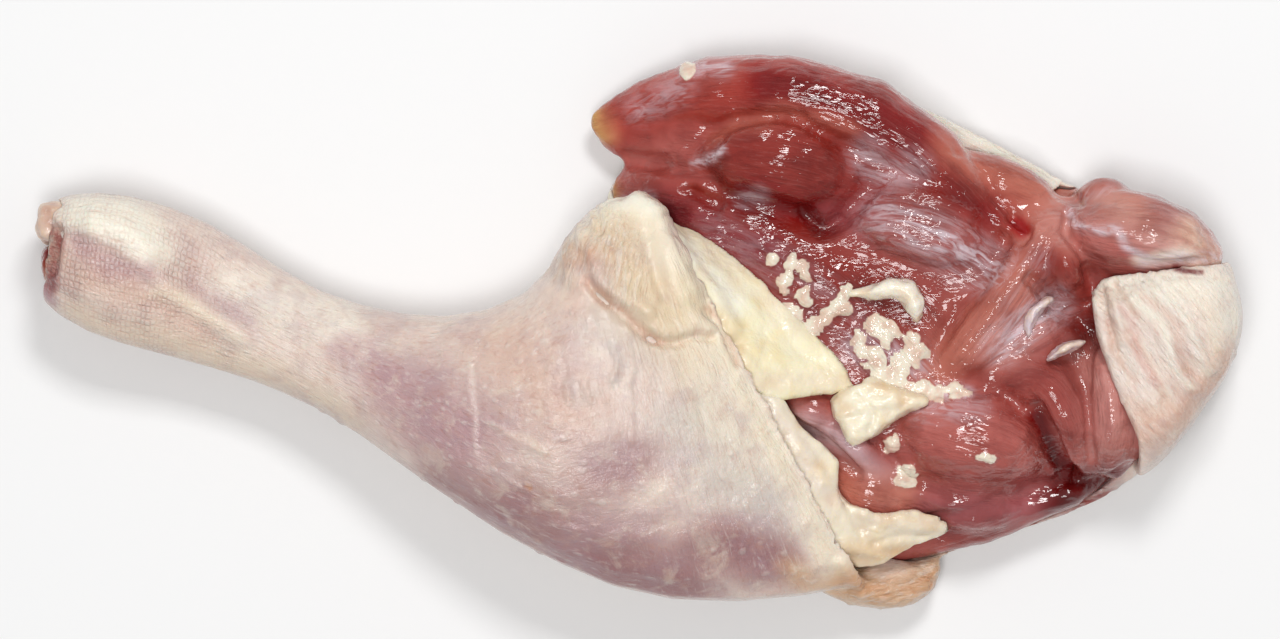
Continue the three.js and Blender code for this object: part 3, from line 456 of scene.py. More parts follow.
SKIN_TOUCHES = [
    ([(-123, 21.5), (-122.8, 15.6), (-123.8, 9.8)], 2.0, 1.0, "brick"),
    ([(-122.8, 20.7), (-122.6, 15.6), (-123.4, 10.6)], 1.5, 1.0, "rust"),
    ([(-125.5, 9.8), (-124.3, 6)], 1.6, 0.8, "mauve"),
    ([(-115, 24.5), (-108.7, 22.4), (-102.8, 18.6)], 7, 0.9, "ivory"),
    ([(-119.6, 27), (-107, 26.6)], 5, 0.6, "ivory"),
    ([(-120.9, 14.8), (-111.2, 11), (-100.7, 6.8), (-92.3, 0.5)], 5, 0.35, "tan"),
    ([(-118, 2.2), (-104.9, -2), (-90.2, -4.9)], 4.5, 0.75, "wheat"),
    ([(-100.7, 8.9), (-92.3, 3.9), (-84.4, -0.7)], 2, 0.5, "cream"),
    ([(-97.4, 7.7), (-86.9, 2.2)], 1.6, 0.3, "cream"),
    ([(-86, 9.3), (-71.3, 4.7), (-60.8, 2.2)], 6, 0.6, "ivory"),
    ([(-86.9, -6.2), (-71.3, -12.5), (-60.4, -19.2)], 4, 0.7, "wheat"),
    ([(-62.1, -3.7), (-52.4, -8.3)], 4, 0.6, "mauve"),
    ([(-53.7, -12.5), (-46.1, -18.4), (-39.4, -22.6)], 7, 0.5, "mauve"),
    ([(-118.4, 19.4), (-112.5, 14.8), (-102.8, 11.9)], 3, 0.5, "mauve"),
    # painted shade in the groove above the tendon
    ([(-93.2, 9.8), (-87.7, 6.8), (-81.8, 2.6)], 3, 0.35, "mauve"),
    ([(-44, -14.2), (-33.5, -21.7)], 9, 0.6, "mauve"),
    ([(-44, -12.1), (-29.3, -18.4), (-14.6, -23.8)], 16, 0.2, "bruised"),
    ([(-29.3, 0.1), (-16.7, -14.6)], 9, 0.45, "tan"),
    ([(-41.9, -32.2), (-25.1, -41.1), (-8.3, -50.3), (10.6, -54.1)], 7, 0.85, "bruised"),
    ([(-8.3, -47.8), (6.4, -52)], 6, 0.7, "bruised"),
    ([(-8.8, -29.7), (0.9, -25.9)], 6, 0.6, "bruised"),
    ([(12.7, -18.4), (21.1, -28.9), (26.9, -36.9)], 11, 0.85, "ash"),
    ([(15.2, -43.2), (30.7, -49)], 6, 0.75, "bruised"),
    ([(-25.1, -35.2), (-8.3, -41.5), (12.7, -46.1), (27.4, -46.1)], 7, 0.6, "bruised"),
    ([(32.8, -50.7), (44.2, -53.2)], 4, 0.6, "amber"),
    ([(-16.7, 16.1), (-8.3, 24.5), (2.2, 26.1)], 6, 0.9, "cream"),
    ([(-14.2, 16.9), (-7.5, 15.6)], 4, 0.5, "clay"),
    # painted shade below the collar's folded edge
    ([(-8.3, 3), (2.2, -3.3)], 6, 0.5, "ash"),
    # painted shade in the dimple
    ([(-7.9, 7.7), (-6.7, 7)], 1.8, 0.8, "tan"),
    # painted highlight where the thin rim of the cut edge catches the light
    ([(5.1, 23.2), (11, 13.1), (17.3, 1.6), (22.5, -10), (28.8, -22.6), (35.1, -33.1), (42.5, -45.7)], 1.1, 0.8, "shell"),
    ([(8.5, 13.1), (20, -8.3), (31.6, -31), (42.9, -50.3)], 3.4, 0.85, "cream"),
    ([(0.1, 6.8), (8.5, -3.7)], 8, 0.5, "straw"),
    ([(-14.2, 8.9), (-9.2, 14.8), (-3.7, 20.3)], 7, 0.35, "tan"),
    ([(95, 9.8), (109.3, 10.2), (124, 8.5), (125.2, -1.6)], 7, 0.7, "ivory"),
    ([(107.2, -18.4), (117.7, -12.5), (122.3, -7.5)], 7, 0.8, "tan"),
    ([(97.5, 0.5), (107.2, -12.1)], 5, 0.8, "shell"),
    ([(53.8, 50.1), (67.3, 43.8), (88.3, 32.9)], 4, 0.9, "ivory"),
    ([(67.3, -45.7), (86.2, -40.2), (98.8, -35.2)], 4, 0.9, "brick"),
    ([(44.2, -54.1), (55.7, -56.6), (62.6, -51.6)], 5, 0.95, "amber"),
    ([(44.2, -53.7), (54.7, -55.3), (61.4, -52.4)], 4, 0.5, "clay"),
    ([(-23.5, -32), (-23.2, -32.5)], 0.7, 0.9, "clay"),
    ([(-7.5, 24.9), (-0.8, 27), (3.4, 25.3)], 3.6, 0.9, "cream"),
    ([(1.7, 24.9), (5.5, 16.1), (11, 6.8)], 5, 0.8, "cream"),
    ([(-4.1, 19.4), (0.1, 11), (8.5, 4.3)], 6, 0.6, "straw"),
    ([(-6.7, 28.2), (0.1, 28.2), (3.4, 26.1)], 3, 0.8, "ivory"),
    ([(-35, -4.1), (-35.6, -11.2), (-34.4, -18.4), (-34, -25.1)], 0.8, 0.22, "ivory"),
    ([(-30.8, -18.8), (-25.1, -22.2), (-19.5, -24.7)], 0.9, 0.25, "cream"),
    ([(-15.1, -10.8), (-13.4, -14.2), (-10, -12.5)], 2.2, 0.4, "ash"),
    ([(-5.8, -2.4), (-4.6, -6.6), (-5.8, -10.8)], 1.4, 0.5, "ash"),
    # painted shade in the creases of the collar
    ([(-10.9, 10.6), (-8.3, 7.7), (-4.8, 5.1), (-1.4, 2), (3.2, -1.6)], 1.0, 0.6, "tan"),
    ([(2.2, -1.4), (7, -2.2), (11.2, -0.9), (15.2, -1.2)], 0.9, 0.5, "tan"),
    ([(13.7, 4.1), (17.3, 1.4), (18.5, -2), (20.6, -6.6)], 1.0, 0.5, "clay"),
    # painted highlight on the ridges of the fold over the hip, and painted shade in the furrows between them
    ([(100, 3), (105.1, -4.1), (109.3, -12.5)], 1.0, 0.6, "ivory"),
    ([(102.5, 7.2), (109.3, -1.6), (114.7, -11.7)], 1.3, 0.7, "ivory"),
    ([(107.6, 8.5), (114.7, 0.5), (118.9, -8.3)], 1.2, 0.6, "ivory"),
    ([(100.9, 0.5), (106.3, -7), (109.7, -15.9)], 1.2, 0.5, "tan"),
    ([(104.6, 7.2), (111.8, -1.6), (116.8, -11.2)], 1.1, 0.4, "tan"),
    ([(99.2, 6.8), (102.1, 0.5), (107.2, -10)], 1.1, 0.4, "blush"),
    # painted shade in the slit under the fold's edge
    ([(111.8, 13.1), (114.3, 12.7), (117, 13.1)], 0.7, 1.0, "cleft_shade"),
    ([(113.5, 8.9), (119.8, 2.6), (118.9, -7.9)], 3, 0.3, "cream"),
    # painted shade in the creases of the fold
    ([(99.2, 9.8), (101.3, 6), (102.5, 3.5)], 0.8, 0.45, "tan"),
    ([(98.5, -0.3), (100.9, -5.8), (103.2, -9.8)], 0.8, 0.4, "tan"),
    ([(96.7, 9.1), (97.1, 4.7), (98.1, 0.5), (99, -3.7)], 0.9, 0.5, "tan"),
    ([(12.7, -3.7), (15.8, -14.2), (23.2, -24.7)], 8, 0.6, "cream"),
    ([(-53.3, 6.8), (-39.8, 4.3), (-27.2, 6.8)], 5, 0.5, "shell"),
]
# Where the fat under the skin is thick, so that no meat shows through
THICK_FAT = [
    ([(-9.2, 24.9), (0.1, 26.6), (5.9, 17.3), (13.5, 4.7), (20.6, -7.5)], 6, 1.0),
    ([(-4.1, 8.9), (6.8, -0.7), (19, -5.8)], 6, 0.8),
    ([(23.6, -12.5), (33.7, -29.7), (42.9, -47.8)], 4, 0.8),
    ([(98.8, 8.5), (112.6, 6.8), (122.3, -2.4)], 9, 0.9),
    ([(103, -1.6), (113.5, -10)], 9, 0.7),
    ([(53.8, 49.7), (67.3, 43.8), (87.4, 32.9)], 6, 1.0),
    ([(44.2, -54.1), (55.7, -56.6), (62.6, -51.6)], 6, 1.0),
    ([(-116.7, 24), (-107.9, 21.1), (-101.6, 16.1)], 6, 0.9),
    ([(-102.8, 11.9), (-93.2, 5.1), (-82.7, -1.2)], 3, 0.9),
    ([(-117.5, 3), (-104.9, -1.6), (-90.2, -4.9)], 5, 0.7),
]
FAT_BASE = {"fat_tongue": "#F3EAC9", "fat_flap": "#F1E7CF", "fat_collar": "#EBE0C9", "fat_curl": "#F2EBDB"}
# painted shade, with a tinge of blood, in the low places between the lumps of fat: the colour they fall to
CREVICE_SHADE_AND_BLOOD = "#F0DFD0"
FAT_TOUCHES = {
    "fat_tongue": [
        ([(6.8, 19.4), (13.5, 14), (19, 6.8)], 4, 0.8, "ivory"),
        ([(25.3, -10.8), (37.9, -10), (46.3, -10)], 3, 0.5, "wheat"),
        ([(15.2, 19.4), (24, 12.3), (32.4, 2.2)], 4, 0.7, "cream"),
        ([(16, 2.6), (21.9, -7.9)], 3, 0.6, "straw"),
    ],
    "fat_flap": [([(50.5, -10.8), (59.7, -14.2)], 2.4, 0.35, "amber")],
    "fat_collar": [
        ([(25.3, -13.3), (33.7, -25.1), (40.8, -35.2)], 3, 0.5, "shell"),
        ([(46.3, -39.4), (65.2, -41.1)], 3, 0.5, "wheat"),
        ([(44.2, -46.9), (54.7, -45.7)], 3, 0.5, "amber"),
    ],
    "fat_curl": [],
}


def drawn_out(points, per_span=6):
    """A smooth line in plan through the points, as a list of short steps."""
    p = np.array(points, float)
    if len(p) < 3:
        return p
    ends = np.vstack([2 * p[0] - p[1], p, 2 * p[-1] - p[-2]])
    t = np.linspace(0, 1, per_span, endpoint=False)[:, None]
    spans = [
        0.5 * (2 * b + (c - a) * t + (2 * a - 5 * b + 4 * c - d) * t**2 + (3 * b - a - 3 * c + d) * t**3)
        for a, b, c, d in zip(ends, ends[1:], ends[2:], ends[3:])
    ]
    return np.vstack([*spans, p[-1:]])


def measured(at, line):
    """For each point: its distance from the line, how far along the line it is, and its side's distance."""
    near = np.full(len(at), 1e9)
    along = np.zeros(len(at))
    side = np.zeros(len(at))
    walked = 0.0
    for a, b in zip(line, line[1:]):
        way = b - a
        length = max(np.hypot(*way), 1e-9)
        way = way / length
        off = at - a
        s = np.clip(off @ way, 0, length)
        gap = off - s[:, None] * way
        d = np.hypot(gap[:, 0], gap[:, 1])
        closer = d < near
        near[closer] = d[closer]
        along[closer] = (walked + s)[closer]
        side[closer] = (way[0] * off[:, 1] - way[1] * off[:, 0])[closer]
        walked += length
    return near, along, side


def fade(distance, reach):
    """1 on the line, 0 at its reach, smooth between."""
    w = np.clip(1 - distance / reach, 0, 1)
    return w * w * (3 - 2 * w)


def noise_at(points):
    """Smooth noise from -1 to 1 at each point."""
    return np.array([noise.noise(Vector(p)) for p in points])


def hex_linear(code):
    """An sRGB hex colour as linear red, green and blue."""
    srgb = [int(code[i : i + 2], 16) / 255 for i in (1, 3, 5)]
    return tuple(c / 12.92 if c <= 0.04045 else ((c + 0.055) / 1.055) ** 2.4 for c in srgb)


class Surface:
    """A finished mesh's vertices in millimetres, for relief and colour."""

    def __init__(self, piece):
        self.mesh = piece.data
        self.n = len(self.mesh.vertices)
        flat = np.empty(self.n * 3)
        self.mesh.vertices.foreach_get("co", flat)
        self.at = flat.reshape(-1, 3) / MM
        self.reread()

    def reread(self):
        flat = np.empty(self.n * 3, np.float32)
        self.mesh.vertex_normals.foreach_get("vector", flat)
        self.facing = flat.reshape(-1, 3).astype(float)
        self.upward = np.clip((self.facing[:, 2] + 0.1) / 0.5, 0, 1)

    def raised(self, height):
        """Moves every vertex along its normal."""
        self.moved(self.facing * height[:, None])

    def moved(self, by):
        self.at += by
        self.mesh.vertices.foreach_set("co", (self.at * MM).ravel())
        self.mesh.update()
        self.reread()

    def lines(self, table):
        """Creases and crowns along runs."""
        height = np.zeros(self.n)
        for run, reach, rise in table:
            near, _, _ = measured(self.at[:, :2], drawn_out(run))
            height += rise * fade(near, reach) * self.upward
        return height

    def wrinkles(self, table):
        """Patches of wrinkles that run one way, with sharp crests or sharp furrows."""
        height = np.zeros(self.n)
        for number, (run, reach, degrees, step, stretch, rise) in enumerate(table):
            near, _, _ = measured(self.at[:, :2], drawn_out(run))
            weight = fade(near, reach) * self.upward
            here = np.nonzero(weight > 0.02)[0]
            turn = math.radians(degrees)
            way = np.array([math.cos(turn), math.sin(turn)])
            across = np.array([-way[1], way[0]])
            at = self.at[here]
            sway = noise_at(at / (step * 5) + number)
            s = at[:, :2] @ way / (step * stretch) + sway
            v = at[:, :2] @ across / step + 1.5 * sway
            rough = noise_at(np.stack([s, v, np.full(len(here), number * 7.3)], axis=1))
            height[here] += rise * weight[here] * (0.35 - 1.6 * np.abs(rough))
        return height

    def rolling(self, wavelength, seed):
        """Smooth noise from -1 to 1 with the given wavelength in millimetres."""
        return noise_at(self.at / wavelength + seed)

    def scraps(self, table):
        """Small rounded lumps strewn along the runs: 1 at a lump's middle, 0 between lumps."""
        dice = np.random.default_rng(7)
        at = self.at[:, :2] + 0.9 * np.stack([self.rolling(3.2, 4.7), self.rolling(3.2, 9.1)], axis=1)
        made = np.zeros(self.n)
        for run, stray, count in table:
            line = drawn_out(run)
            for _ in range(count):
                off = at - line[dice.integers(len(line))] - dice.normal(0, stray, 2)
                turn = dice.uniform(0, math.pi)
                half = dice.uniform(*SCRAP_LENGTHS)
                along = (off @ [math.cos(turn), math.sin(turn)]) / half
                across = (off @ [-math.sin(turn), math.cos(turn)]) / (half * dice.uniform(0.5, 0.85))
                made = np.maximum(made, 1 - np.hypot(along, across))
        return made * self.upward

    def painted(self, base, touches, veil=0.0):
        """The base colour with soft strokes of other colours over it, mixed as the eye sees them."""
        colour = np.tile(np.array(hex_linear(base)), (self.n, 1)) ** (1 / 2.2)
        wander = np.stack([self.rolling(9.0, 11.3), self.rolling(9.0, 23.9)], axis=1) * 2.0
        for run, reach, strength, hue in touches:
            near, _, _ = measured(self.at[:, :2] + wander, drawn_out(run))
            w = (strength * fade(near, reach * 1.5) * self.upward)[:, None]
            colour = colour * (1 - w) + np.array(hex_linear(HUES[hue])) ** (1 / 2.2) * w
        return np.maximum(colour**2.2 - veil, 0.004)

    def masked(self, touches):
        """0 to 1: how much of something the strokes lay down."""
        mask = np.zeros(self.n)
        for run, reach, strength in touches:
            near, _, _ = measured(self.at[:, :2], drawn_out(run))
            mask = np.maximum(mask, strength * fade(near, reach * 1.4) * self.upward)
        return mask

    def keep_colour(self, name, values):
        layer = self.mesh.color_attributes.new(name, "FLOAT_COLOR", "POINT")
        flat = np.hstack([values, np.ones((self.n, 1))]).astype(np.float32)
        layer.data.foreach_set("color", flat.ravel())

    def keep_number(self, name, values):
        layer = self.mesh.attributes.new(name, "FLOAT", "POINT")
        layer.data.foreach_set("value", values.astype(np.float32))

    def keep_vector(self, name, values):
        layer = self.mesh.attributes.new(name, "FLOAT_VECTOR", "POINT")
        layer.data.foreach_set("vector", values.astype(np.float32).ravel())


def node_copy(node, name):
    """A new piece from a CAD node's mesh, its loose triangles merged."""
    mesh = bpy.data.meshes.new(name)
    shape = bmesh.new()
    shape.from_mesh(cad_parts[node].data)
    bmesh.ops.remove_doubles(shape, verts=shape.verts, dist=MERGE)
    shape.to_mesh(mesh)
    shape.free()
    piece = bpy.data.objects.new(name, mesh)
    bpy.context.scene.collection.objects.link(piece)
    return piece


def applied(piece):
    """Turns the piece's modifiers into its mesh."""
    graph = bpy.context.evaluated_depsgraph_get()
    shaped = bpy.data.meshes.new_from_object(piece.evaluated_get(graph), depsgraph=graph)
    old = piece.data
    piece.modifiers.clear()
    piece.data = shaped
    shaped.name = piece.name
    bpy.data.meshes.remove(old)


def softened(piece, grain, rounds):
    """Remeshes evenly at a grain and rounds off the facets of the solid."""
    even = piece.modifiers.new("even grain", "REMESH")
    even.mode = "VOXEL"
    even.voxel_size = grain
    soft = piece.modifiers.new("soft", "SMOOTH")
    soft.factor = 0.5
    soft.iterations = rounds
    applied(piece)
    return piece


def without_crumbs(piece):
    """Deletes the bits that hang loose inside a wall thinner than the grain."""
    shape = bmesh.new()
    shape.from_mesh(piece.data)
    shape.verts.ensure_lookup_table()
    left = set(shape.verts)
    while left:
        bit = [left.pop()]
        for vertex in bit:
            near = [edge.other_vert(vertex) for edge in vertex.link_edges]
            fresh = [other for other in near if other in left]
            left.difference_update(fresh)
            bit.extend(fresh)
        if len(bit) < CRUMB:
            bmesh.ops.delete(shape, geom=bit, context="VERTS")
    shape.to_mesh(piece.data)
    shape.free()


def thinned(piece, hidden, share):
    """Fewer triangles where nothing is seen."""
    group = piece.vertex_groups.new(name="out of sight")
    group.add([int(i) for i in np.nonzero(hidden)[0]], 1.0, "REPLACE")
    fewer = piece.modifiers.new("fewer", "DECIMATE")
    fewer.ratio = share
    fewer.vertex_group = group.name
    fewer.use_collapse_triangulate = True
    applied(piece)
    piece.vertex_groups.clear()
    without_crumbs(piece)


def finished(piece, node, material):
    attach(piece, "root")
    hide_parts(node)
    piece.data.materials.clear()
    piece.data.materials.append(material)
    for face in piece.data.polygons:
        face.use_smooth = True


def fibre_lines(surface):
    """Along and across the run of the nearest muscle, and height; and how clear of the next muscle it is."""
    best = np.full(surface.n, 1e9)
    second = np.full(surface.n, 1e9)
    grain = np.zeros((surface.n, 3))
    for number, (run, half) in enumerate(MUSCLES.values()):
        near, along, side = measured(surface.at[:, :2], drawn_out(run))
        score = near - half
        closer = score < best
        second = np.where(closer, best, np.minimum(second, score))
        best[closer] = score[closer]
        grain[closer, 0] = along[closer] + 37.0 * number
        grain[closer, 1] = side[closer]
        grain[closer, 2] = surface.at[closer, 2]
    return grain, np.clip((second - best) / SEAM_FADE - 0.6, 0, 1)


def rib_place(surface):
    """Which rib each vertex is at, counted from the hock, and its two ways round: along the leg and round it."""
    at = surface.at[:, :2]
    upper = np.array([a for a, _ in RIBS])
    lower = np.array([b for _, b in RIBS])
    middle = (upper + lower) / 2
    before = np.zeros((surface.n, len(RIBS)))
    for k, (a, b) in enumerate(zip(upper, lower)):
        way = (b - a) / np.hypot(*(b - a))
        before[:, k] = -way[1] * (at[:, 0] - a[0]) + way[0] * (at[:, 1] - a[1])
    place = np.full(surface.n, len(RIBS) - 1.0)
    for k in reversed(range(len(RIBS) - 1)):
        behind, ahead = before[:, k], before[:, k + 1]
        between = (behind >= 0) & (ahead < 0)
        place[between] = k + behind[between] / (behind[between] - ahead[between])
    place[before[:, 0] < 0] = 0.0
    walked = np.concatenate([[0], np.cumsum(np.hypot(*np.diff(middle, axis=0).T))])
    along = np.interp(place, np.arange(len(RIBS)), walked)
    knot = np.arange(len(RIBS))
    axis = np.stack([np.interp(place, knot, middle[:, i]) for i in (0, 1)], axis=1)
    across = np.stack([np.interp(place, knot, (upper - lower)[:, i]) for i in (0, 1)], axis=1)
    across /= np.hypot(*across.T)[:, None]
    side = ((at - axis) * across).sum(axis=1)
    round_it = np.arctan2(side, surface.at[:, 2] - SHANK_HEIGHT) * SHANK_RADIUS
    return place, np.stack([along, round_it, surface.at[:, 2]], axis=1)


def faces_for_rays(mesh):
    shape = bmesh.new()
    shape.from_mesh(mesh)
    faces = BVHTree.FromBMesh(shape)
    shape.free()
    return faces


def under_meat(surface):
    """Whether the meat is above each vertex."""
    meat = faces_for_rays(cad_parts["meat"].data)
    up = Vector((0, 0, 1))
    return np.array([meat.ray_cast(Vector(p * MM), up)[0] is not None for p in surface.at])


def wall_shortfall(surface):
    """How far the skin under the meat falls short of its least thickness, at the vertices of its top side."""
    walls = faces_for_rays(surface.mesh)
    down = Vector((0, 0, -1))
    short = np.zeros(surface.n)
    for k in np.nonzero(under_meat(surface) & (surface.facing[:, 2] > 0.2))[0]:
        start = Vector(surface.at[k] * MM) + 0.01 * WALL_LEAST * MM * down
        wall = walls.ray_cast(start, down)[3]
        if wall is not None:
            short[k] = max(0.0, WALL_LEAST - wall / MM)
    return short


def skin_out_of_sight(surface):
    """The drumstick's inner wall, the skin's top side under the thigh, and its underside."""
    place, _ = rib_place(surface)
    at = surface.at
    axis = np.array([(np.array(a) + b) / 2 for a, b in RIBS])
    knot = np.arange(len(RIBS))
    off = np.stack([at[:, i] - np.interp(place, knot, axis[:, i]) for i in (0, 1)] + [at[:, 2] - SHANK_HEIGHT], axis=1)
    inward = (off * surface.facing).sum(axis=1) < -0.2 * np.sqrt((off**2).sum(axis=1))
    inner_wall = inward & (place > 0.4) & (place < len(RIBS) - 1.3)
    return inner_wall | under_meat(surface) | (at[:, 2] < 1.0)


def turned_grain(surface, place, drawn):
    """The way of the skin's grain where the ribs don't tell it, how rough it is, and where it runs round the calf."""
    calf = np.clip((place - CALF_RIBS[0]) / (CALF_RIBS[1] - CALF_RIBS[0]), 0, 1)
    rough = np.zeros(surface.n)
    clear = np.ones(surface.n)
    for run, reach, degrees, strength in SKIN_GRAIN:
        near, _, _ = measured(surface.at[:, :2], drawn_out(run))
        here = near < reach
        turn = math.radians(degrees)
        way = np.array([math.cos(turn), math.sin(turn)])
        across = np.array([-way[1], way[0]])
        at = surface.at[here]
        drawn[here] = np.stack([at[:, :2] @ way, at[:, :2] @ across, at[:, 2]], axis=1)
        calf[here] = 0
        rough = np.maximum(rough, strength * fade(near, reach))
        clear = np.minimum(clear, np.clip(np.abs(near - reach) / GRAIN_FADE, 0, 1))
    return drawn, rough, calf, clear


# Materials

KEPT = "ShaderNodeAttribute"
PLACE = "ShaderNodeTexCoord"
SPREAD = "ShaderNodeMapping"
NOISE = "ShaderNodeTexNoise"
CELLS = "ShaderNodeTexVoronoi"
RANGE = "ShaderNodeMapRange"
SUM = "ShaderNodeMath"
BLEND = "ShaderNodeMix"
BUMP = "ShaderNodeBump"
SHADER = "ShaderNodeBsdfPrincipled"
OUTPUT = "ShaderNodeOutputMaterial"
SMOOTH = "SMOOTHSTEP"


def added(tree, kind, settings=None, links=None, output=0):
    """Adds a node with its settings and the links into its sockets, and gives back one of its outputs."""
    node = tree.nodes.new(kind)
    for key, value in (settings or {}).items():
        if isinstance(key, int) or key in node.inputs:
            node.inputs[key].default_value = value
        else:
            setattr(node, key, value)
    for socket, source in (links or {}).items():
        tree.links.new(source, node.inputs[socket])
    return node.outputs[output] if node.outputs else None


def fresh_material(name):
    material = bpy.data.materials.new(name)
    material.use_nodes = True
    material.node_tree.nodes.clear()
    return material, material.node_tree


def raw_muscle(colours):
    """Raw red muscle, opened by hand: wet, so it gives back the light in broken glints, with fine fibres along each
    muscle, a lilac film of membrane that tears white and in places is a painted sheen, and scraps of fat caught in it."""
    material, tree = fresh_material("raw muscle, wet and opened")
    tint = added(tree, KEPT, {"attribute_name": "tint"}, output="Color")
    fibre = added(tree, KEPT, {"attribute_name": "fibre"}, output="Vector")
    clear = added(tree, KEPT, {"attribute_name": "clear"}, output="Fac")
    film = added(tree, KEPT, {"attribute_name": "film"}, output="Fac")
    wet = added(tree, KEPT, {"attribute_name": "wet"}, output="Fac")
    scrap = added(tree, KEPT, {"attribute_name": "scrap"}, output="Fac")
    place = added(tree, PLACE, output="Object")
    # fibres about 0.4 mm across and 6 mm long, in bundles about 2 mm across; they fade out at a muscle's edge
    spread = added(tree, SPREAD, {"Scale": (0.16, 2.2, 0.8)}, {"Vector": fibre})
    fibres = added(tree, NOISE, {"Scale": 1.0, "Detail": 4.0, "Roughness": 0.6}, {"Vector": spread})
    fibres = added(tree, BLEND, {2: 0.5}, {0: clear, 3: fibres})
    spread = added(tree, SPREAD, {"Scale": (0.05, 0.5, 0.4)}, {"Vector": fibre})
    bundles = added(tree, NOISE, {"Scale": 1.0, "Detail": 3.0}, {"Vector": spread})
    bundles = added(tree, BLEND, {2: 0.5}, {0: clear, 3: bundles})
    # streaks in the membrane, 1.5 mm by 10 mm
    spread = added(tree, SPREAD, {"Scale": (0.1, 0.65, 0.4)}, {"Vector": fibre})
    streaks = added(tree, NOISE, {"Scale": 1.0, "Detail": 3.0, "Distortion": 1.2}, {"Vector": spread})
    # broad dark and pale areas 12 mm across, and lumps 3 mm across
    blood = added(tree, NOISE, {"Scale": 90.0, "Detail": 3.0}, {"Vector": place})
    lumps = added(tree, NOISE, {"Scale": 330.0, "Detail": 2.0}, {"Vector": place})
    # waves in the wet film, about 2 mm by 5 mm, mostly across the thigh, and a finer ripple
    spread = added(tree, SPREAD, {"Scale": (190, 500, 500), "Rotation": (0, 0, 0.2)}, {"Vector": place})
    settings = {"Scale": 1.0, "Detail": 2.0, "Roughness": 0.45, "Distortion": 0.9}
    waves = added(tree, NOISE, settings, {"Vector": spread})
    ripple = added(tree, NOISE, {"Scale": 3.2, "Detail": 1.0, "Distortion": 0.5}, {"Vector": spread})
    # strands 0.9 mm across and 8 mm long, which draw the lights out along a muscle
    spread = added(tree, SPREAD, {"Scale": (0.12, 1.1, 0.8)}, {"Vector": fibre})
    strands = added(tree, NOISE, {"Scale": 1.0, "Detail": 2.0, "Distortion": 0.4}, {"Vector": spread})
    strands = added(tree, BLEND, {2: 0.5}, {0: clear, 3: strands})

    dark = added(tree, RANGE, {"interpolation_type": SMOOTH, 1: 0.45, 2: 0.66}, {0: bundles})
    settings = {"data_type": "RGBA", "blend_type": "MULTIPLY", 7: (0.82, 0.72, 0.72, 1)}
    colour = added(tree, BLEND, settings, {0: dark, 6: tint}, 2)
    dark = added(tree, RANGE, {"interpolation_type": SMOOTH, 1: 0.45, 2: 0.65}, {0: blood})
    settings = {"data_type": "RGBA", "blend_type": "MULTIPLY", 7: (0.78, 0.66, 0.64, 1)}
    colour = added(tree, BLEND, settings, {0: dark, 6: colour}, 2)
    threads = added(tree, RANGE, {"interpolation_type": SMOOTH, 1: 0.5, 2: 0.72, 4: 0.11}, {0: fibres})
    settings = {"data_type": "RGBA", 7: (*colours["muscle_thread"], 1)}
    colour = added(tree, BLEND, settings, {0: threads, 6: colour}, 2)
    # the membrane's pale streaks, which in places are a painted sheen of the wet film
    sheet = added(tree, RANGE, {"interpolation_type": SMOOTH, 1: 0.34, 2: 0.66, 3: 0.1, 4: 0.8}, {0: streaks})
    sheet = added(tree, SUM, {"operation": "MULTIPLY"}, {0: sheet, 1: film})
    colour = added(tree, BLEND, {"data_type": "RGBA", 7: (*colours["membrane"], 1)}, {0: sheet, 6: colour}, 2)
    ragged = added(tree, SUM, {"operation": "MULTIPLY_ADD", 1: 0.15}, {0: ripple, 2: scrap})
    shown = added(tree, RANGE, {"interpolation_type": SMOOTH, 1: 0.4, 2: 0.85, 4: 0.95}, {0: ragged})
    cream = added(tree, RANGE, {"interpolation_type": SMOOTH, 1: 0.4, 2: 0.62}, {0: lumps})
    settings = {"data_type": "RGBA", 6: (*colours["scrap_fat"], 1), 7: (*colours["scrap_shade"], 1)}
    cream = added(tree, BLEND, settings, {0: cream}, 2)
    colour = added(tree, BLEND, {"data_type": "RGBA"}, {0: shown, 6: colour, 7: cream}, 2)

    under = added(tree, BUMP, {"Distance": 0.5 * MM}, {"Height": bundles})
    under = added(tree, BUMP, {"Distance": 0.35 * MM}, {"Height": fibres, "Normal": under})
    under = added(tree, BUMP, {"Distance": 0.5 * MM}, {"Height": lumps, "Normal": under})
    dry = added(tree, SUM, {"operation": "MULTIPLY_ADD", 1: -0.8, 2: 1.0}, {0: wet})
    gloss = added(tree, SUM, {"operation": "MULTIPLY"}, {0: strands, 1: dry})
    gloss = added(tree, BUMP, {"Distance": 0.25 * MM}, {"Height": gloss})
    rise = added(tree, SUM, {"operation": "MULTIPLY_ADD", 1: 0.55, 2: 0.35}, {0: wet})
    waves = added(tree, SUM, {"operation": "MULTIPLY"}, {0: waves, 1: rise})
    gloss = added(tree, BUMP, {"Distance": 0.8 * MM}, {"Height": waves, "Normal": gloss})
    settings = {
        "Roughness": 0.45,
        "IOR": 1.4,
        "Specular IOR Level": 0.12,
        "Subsurface Weight": 0.1,
        "Subsurface Radius": (1.0, 0.25, 0.15),
        "Subsurface Scale": 0.0012,
        "Coat Weight": 1.0,
        "Coat Roughness": 0.035,
        "Coat IOR": 1.48,
    }
    surface = added(tree, SHADER, settings, {"Base Color": colour, "Normal": under, "Coat Normal": gloss})
    added(tree, OUTPUT, links={"Surface": surface})
    return material


